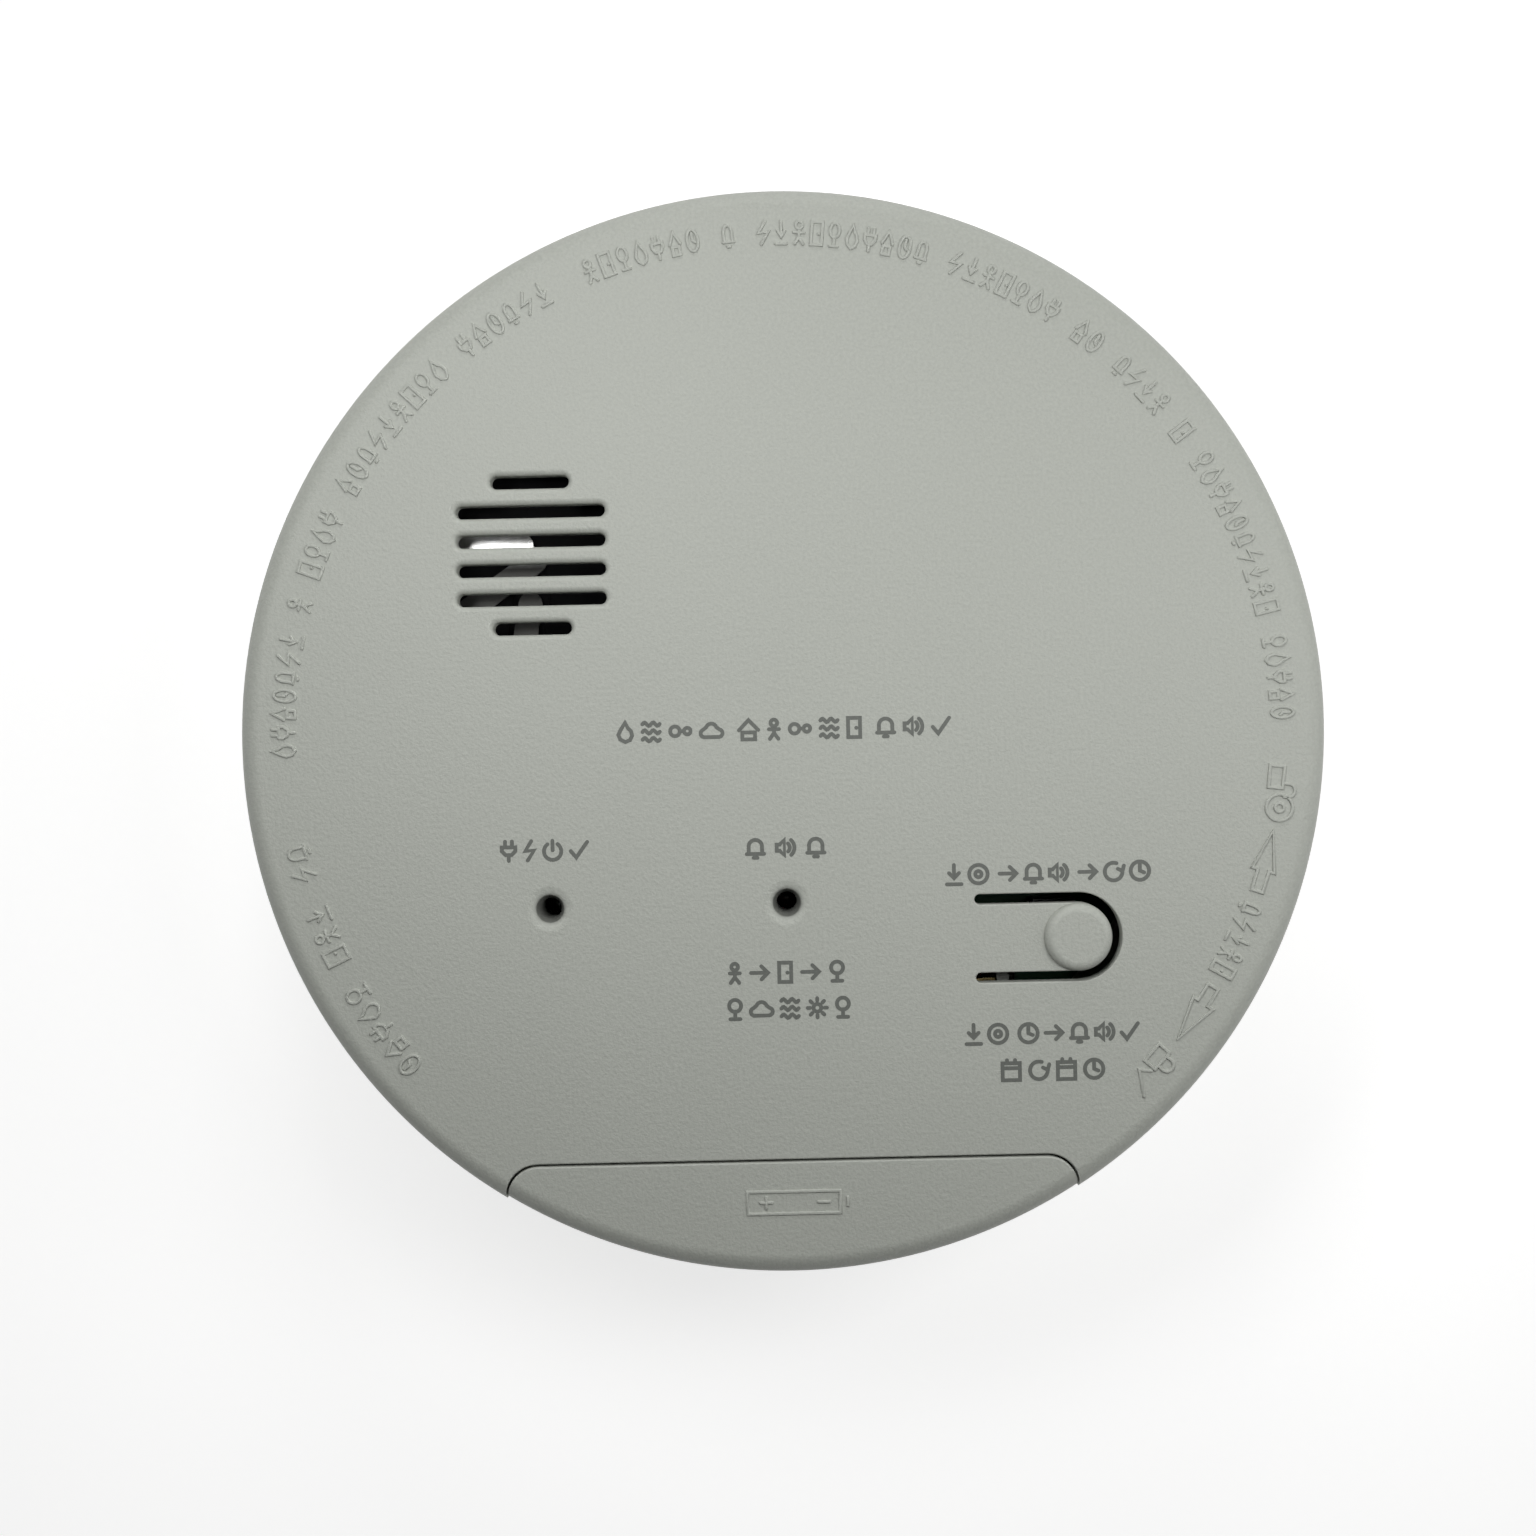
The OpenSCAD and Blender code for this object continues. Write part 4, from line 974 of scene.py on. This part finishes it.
def ink(name, color):
    """Pad-printed ink: matt, slightly uneven."""
    s = Shader(name)
    fine = s.noise(0.35, 3.0, 0.6)
    tone = s.mix(s.ramp(fine, 0.0, 1.0, 0.3, 0.7), shade(color, 0.88), shade(color, 1.12))
    return s.finish(tone, s.ramp(fine, 0.5, 0.65), s.bump(fine, 0.3, 0.02))


def metal(name, color, rough=0.28, drawn=(1, 1, 1)):
    """Plated or rolled metal with faint rolling marks along the axis with the small factor."""
    s = Shader(name)
    lines = s.noise(0.25, 2.0, 0.5, s.stretched(drawn))
    stain = s.noise(3.5, 3.0, 0.5)
    tone = s.mix(s.ramp(stain, 0.0, 1.0, 0.3, 0.7), shade(color, 0.86), shade(color, 1.05))
    spread = s.math("ADD", s.ramp(lines, -0.06, 0.06, 0.3, 0.7),
                    s.ramp(stain, rough - 0.04, rough + 0.08))
    return s.finish(tone, spread, s.bump(lines, 0.15, 0.01), Metallic=1.0)


def satin_plastic(name, color, rough=0.38, coat=0.0, specular=0.5):
    s = Shader(name)
    fine = s.noise(0.5, 3.0, 0.5)
    cloud = s.noise(6, 2.0, 0.5)
    tone = s.mix(s.ramp(cloud, 0.0, 1.0, 0.3, 0.7), shade(color, 0.9), shade(color, 1.1))
    return s.finish(tone, s.ramp(fine, rough - 0.05, rough + 0.08), s.bump(fine, 0.2, 0.02),
                    Coat_Weight=coat, Specular_IOR_Level=specular)


def strip_with_painted_shade(name, color, shade_and_stain):
    """Rolled strip, bright towards the top of the horn and darker below its middle: painted shade, with
    blotches of stain in the same dark colour.
    """
    s = Shader(name)
    height = s.node("ShaderNodeSeparateXYZ", {"Vector": s.coords}).outputs["Y"]
    stain = s.noise(2.2, 3.0, 0.5)
    # Painted shade: dark more than 1.2 mm below the horn's middle, bright above it
    unshaded = s.ramp(height, 0.0, 1.0, (HORN.y - 1.2) * MM, HORN.y * MM)
    tone = s.mix(unshaded, shade_and_stain, color)
    mottled = s.mix(s.ramp(stain, 0.0, 0.35, 0.45, 0.7), tone, shade_and_stain)
    lines = s.noise(0.25, 2.0, 0.5, s.stretched((0.15, 1, 1)))
    return s.finish(mottled, s.ramp(unshaded, 0.5, 0.27), s.bump(lines, 0.2, 0.01), Metallic=1.0)


def banded_case(name, dark, light):
    """Printed steel case with a light band at the end of the snaps and a thin one opposite."""
    s = Shader(name)
    low, high = box_mm("battery_case")
    across = s.node("ShaderNodeSeparateXYZ", {"Vector": s.coords}).outputs["X"]
    band = s.math("GREATER_THAN", across, (high.x - 11) * MM)
    line = s.math("MULTIPLY", s.math("LESS_THAN", across, (low.x + 2.6) * MM),
                  s.math("GREATER_THAN", across, (low.x + 1.4) * MM))
    fine = s.noise(0.5, 3.0, 0.5)
    tone = s.mix(s.math("ADD", band, line), dark, light)
    return s.finish(tone, s.ramp(fine, 0.22, 0.34), s.bump(fine, 0.15, 0.02), Coat_Weight=0.4)


def framed_label(name, film, line):
    """Plain film with a thin printed frame and ruled blank fields."""
    s = Shader(name)
    low, high = box_mm("rating_label")
    at = middle("rating_label")
    axes = s.node("ShaderNodeSeparateXYZ", {"Vector": s.coords}).outputs
    off = [s.math("ABSOLUTE", s.math("SUBTRACT", axes[k], at[k] * MM)) for k in (0, 1)]
    half = [(high[k] - low[k]) / 2 for k in (0, 1)]
    edge = s.math("MAXIMUM", *[s.math("SUBTRACT", off[k], (half[k] - 1.5) * MM) for k in (0, 1)])
    frame_line = s.math("LESS_THAN", s.math("ABSOLUTE", edge), 0.15 * MM)
    inside = s.math("LESS_THAN", edge, -1.2 * MM)
    rows = s.math("PINGPONG", axes[1], 2.2 * MM)
    rule = s.math("MULTIPLY", s.math("LESS_THAN", rows, 0.1 * MM), inside)
    fine = s.noise(0.5, 3.0, 0.5)
    tone = s.mix(s.math("MAXIMUM", frame_line, rule), film, line)
    return s.finish(tone, s.ramp(fine, 0.3, 0.43), s.bump(fine, 0.15, 0.02))


HOUSING = (0.425, 0.441, 0.400, 1)


def slot_materials():
    """A material for every slot of the record."""
    return {
        "cover_plastic": grained_plastic("cover_plastic", HOUSING),
        "base_plastic": grained_plastic("base_plastic", shade(HOUSING, 0.97)),
        "bracket_plastic": grained_plastic("bracket_plastic", shade(HOUSING, 0.94), 1.2),
        "zinc_steel": metal("zinc_steel", (0.62, 0.63, 0.66, 1), 0.3),
        "spring_steel": strip_with_painted_shade("spring_steel", (0.80, 0.80, 0.79, 1),
                                        (0.10, 0.10, 0.095, 1)),
        "tinned_wire": metal("tinned_wire", (0.68, 0.69, 0.70, 1), 0.35),
        "nickel_plate": metal("nickel_plate", (0.66, 0.65, 0.61, 1), 0.22),
        "contact_brass": metal("contact_brass", (0.72, 0.56, 0.26, 1), 0.25, (0.1, 1, 1)),
        "copper_wire": metal("copper_wire", (0.55, 0.22, 0.08, 1), 0.35, (1, 1, 6)),
        "label_film": framed_label("label_film", (0.74, 0.74, 0.71, 1), (0.12, 0.12, 0.12, 1)),
        "black_plastic": satin_plastic("black_plastic", (0.022, 0.022, 0.024, 1), 0.42),
        "inlet_plastic": satin_plastic("inlet_plastic", (0.66, 0.65, 0.58, 1), 0.42),
        "battery_can": banded_case("battery_can", (0.03, 0.035, 0.06, 1), (0.52, 0.53, 0.54, 1)),
        "wire_sleeve": satin_plastic("wire_sleeve", (0.25, 0.012, 0.012, 1), 0.45),
        "board_laminate": satin_plastic("board_laminate", (0.012, 0.075, 0.03, 1), 0.4, 0.2, 0.3),
        # The sounder disc is near black with weak specular: painted shade for the deep space under the
        # horn slots
        "sounder_coating": satin_plastic("sounder_coating", (0.004, 0.004, 0.0045, 1), 0.6,
                                         specular=0.12),
        "green_lens": satin_plastic("green_lens", (0.02, 0.06, 0.03, 1), 0.12, 0.6),
        "red_lens": satin_plastic("red_lens", (0.07, 0.014, 0.014, 1), 0.12, 0.6),
        "yellow_case": satin_plastic("yellow_case", (0.58, 0.38, 0.03, 1), 0.35),
        "blue_epoxy": satin_plastic("blue_epoxy", (0.02, 0.09, 0.32, 1), 0.25, 0.5),
        "resistor_lacquer": satin_plastic("resistor_lacquer", (0.20, 0.30, 0.36, 1), 0.3, 0.4),
        "capacitor_sleeve": satin_plastic("capacitor_sleeve", (0.02, 0.025, 0.09, 1), 0.25, 0.5),
        "ferrite": satin_plastic("ferrite", (0.06, 0.06, 0.065, 1), 0.6),
        "chip_ceramic": satin_plastic("chip_ceramic", (0.30, 0.22, 0.15, 1), 0.45),
    }


def dress_nodes(materials):
    """Gives each CAD node the material of its slot."""
    for part in frame["record"]["subparts"]:
        node = frame["nodes"][part["node"]]
        node.data.materials.clear()
        node.data.materials.append(materials[part["material_slot"]])


def place(thing, body, slot, material, *replaced):
    """Rides a finished piece on its body in the given material; the slot argument is not used."""
    thing.data.materials.clear()
    thing.data.materials.append(material)
    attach(thing, body)
    if replaced:
        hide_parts(*replaced)


# ---- Set ----

def set_camera():
    """Straight above the face, slightly turned, at arm's length."""
    distance = 230.0
    data = bpy.data.cameras.new("camera")
    data.sensor_width = 36
    data.lens = 41.5
    data.shift_x = -0.0098
    data.shift_y = -0.0234
    data.clip_start = 0.01
    data.clip_end = 20
    camera = bpy.data.objects.new("camera", data)
    camera.location = (0, 0, (Z_FACE + distance) * MM)
    camera.rotation_euler = (0, 0, math.radians(-1.25))
    bpy.context.scene.collection.objects.link(camera)
    bpy.context.scene.camera = camera


def set_floor():
    """A wide disc of pale paper, lifted a little by its own light."""
    reach = 6000
    floor = lathed([(reach, -20), (reach, 0)], segments=180).object("floor")
    recalculate(floor)
    s = Shader("floor_paper")
    grain = s.noise(1.5, 3.0)
    tone = s.mix(grain, (0.50, 0.50, 0.495, 1), (0.54, 0.54, 0.535, 1))
    floor.data.materials.append(s.finish(
        tone, 0.8, s.bump(grain, 0.1, 0.05), Emission_Color=(1, 1, 1, 1), Emission_Strength=0.74))


def area_light(name, location, size, power):
    """A rectangular lamp of so many watts, aimed at the middle of the face."""
    data = bpy.data.lights.new(name, "AREA")
    data.shape = "RECTANGLE"
    data.size, data.size_y = (s * MM for s in size)
    data.energy = power
    light = bpy.data.objects.new(name, data)
    light.location = Vector(location) * MM
    aim = Vector((0, 0, Z_FACE)) - Vector(location)
    light.rotation_euler = aim.to_track_quat("-Z", "Y").to_euler()
    bpy.context.scene.collection.objects.link(light)


def set_backdrop():
    """A dark room with a pale grey wall low down, all round the floor."""
    world = bpy.data.worlds.new("world")
    world.use_nodes = True
    tree = world.node_tree
    sky = tree.nodes["Background"]
    sky.inputs["Color"].default_value = (1.0, 1.0, 1.0, 1)
    axes = tree.nodes.new("ShaderNodeSeparateXYZ")
    tree.links.new(tree.nodes.new("ShaderNodeTexCoord").outputs["Generated"], axes.inputs[0])
    band = tree.nodes.new("ShaderNodeMapRange")
    tree.links.new(axes.outputs["Z"], band.inputs["Value"])
    for socket, value in (("From Min", 0.15), ("From Max", 0.24), ("To Min", 0.45), ("To Max", 0.0)):
        band.inputs[socket].default_value = value
    tree.links.new(band.outputs["Result"], sky.inputs["Strength"])
    bpy.context.scene.world = world


def set_lights():
    area_light("left_key", (-60, 66, 200), (120, 60), 0.184)
    area_light("right_key", (110, 20, 200), (60, 120), 0.155)
    area_light("right_fill", (453, 0, 253), (150, 150), 0.249)
    area_light("top_fill", (0, 453, 253), (150, 150), 0.558)


# ---- Build ----

def build():
    materials = slot_materials()
    dress_nodes(materials)
    place(front_shell(), "alarm", "cover_plastic", materials["cover_plastic"], "front_cover")
    place(drawer_shell(), "drawer", "cover_plastic", materials["cover_plastic"], "battery_drawer")
    place(button_tongue(), "button", "cover_plastic", materials["cover_plastic"], "test_button")
    place(base_shell(), "alarm", "base_plastic", materials["base_plastic"],
          "rear_base", "base_skirt", "twist_ring")
    place(bracket_shell(), "bracket", "bracket_plastic", materials["bracket_plastic"],
          "mounting_bracket")
    place(lamp_lens("power_led"), "alarm", "green_lens", materials["green_lens"], "power_led")
    place(lamp_lens("alarm_led"), "alarm", "red_lens", materials["red_lens"], "alarm_led")
    place(ring_marks(), "alarm", "cover_plastic", materials["cover_plastic"])
    place(drawer_mark(), "drawer", "cover_plastic", materials["cover_plastic"])
    place(printed_marks(), "alarm", "cover_plastic", ink("printing_ink", srgb(100, 103, 98)))
    set_camera()
    set_floor()
    set_backdrop()
    set_lights()
    bpy.context.scene.view_settings.view_transform = "Standard"


build()
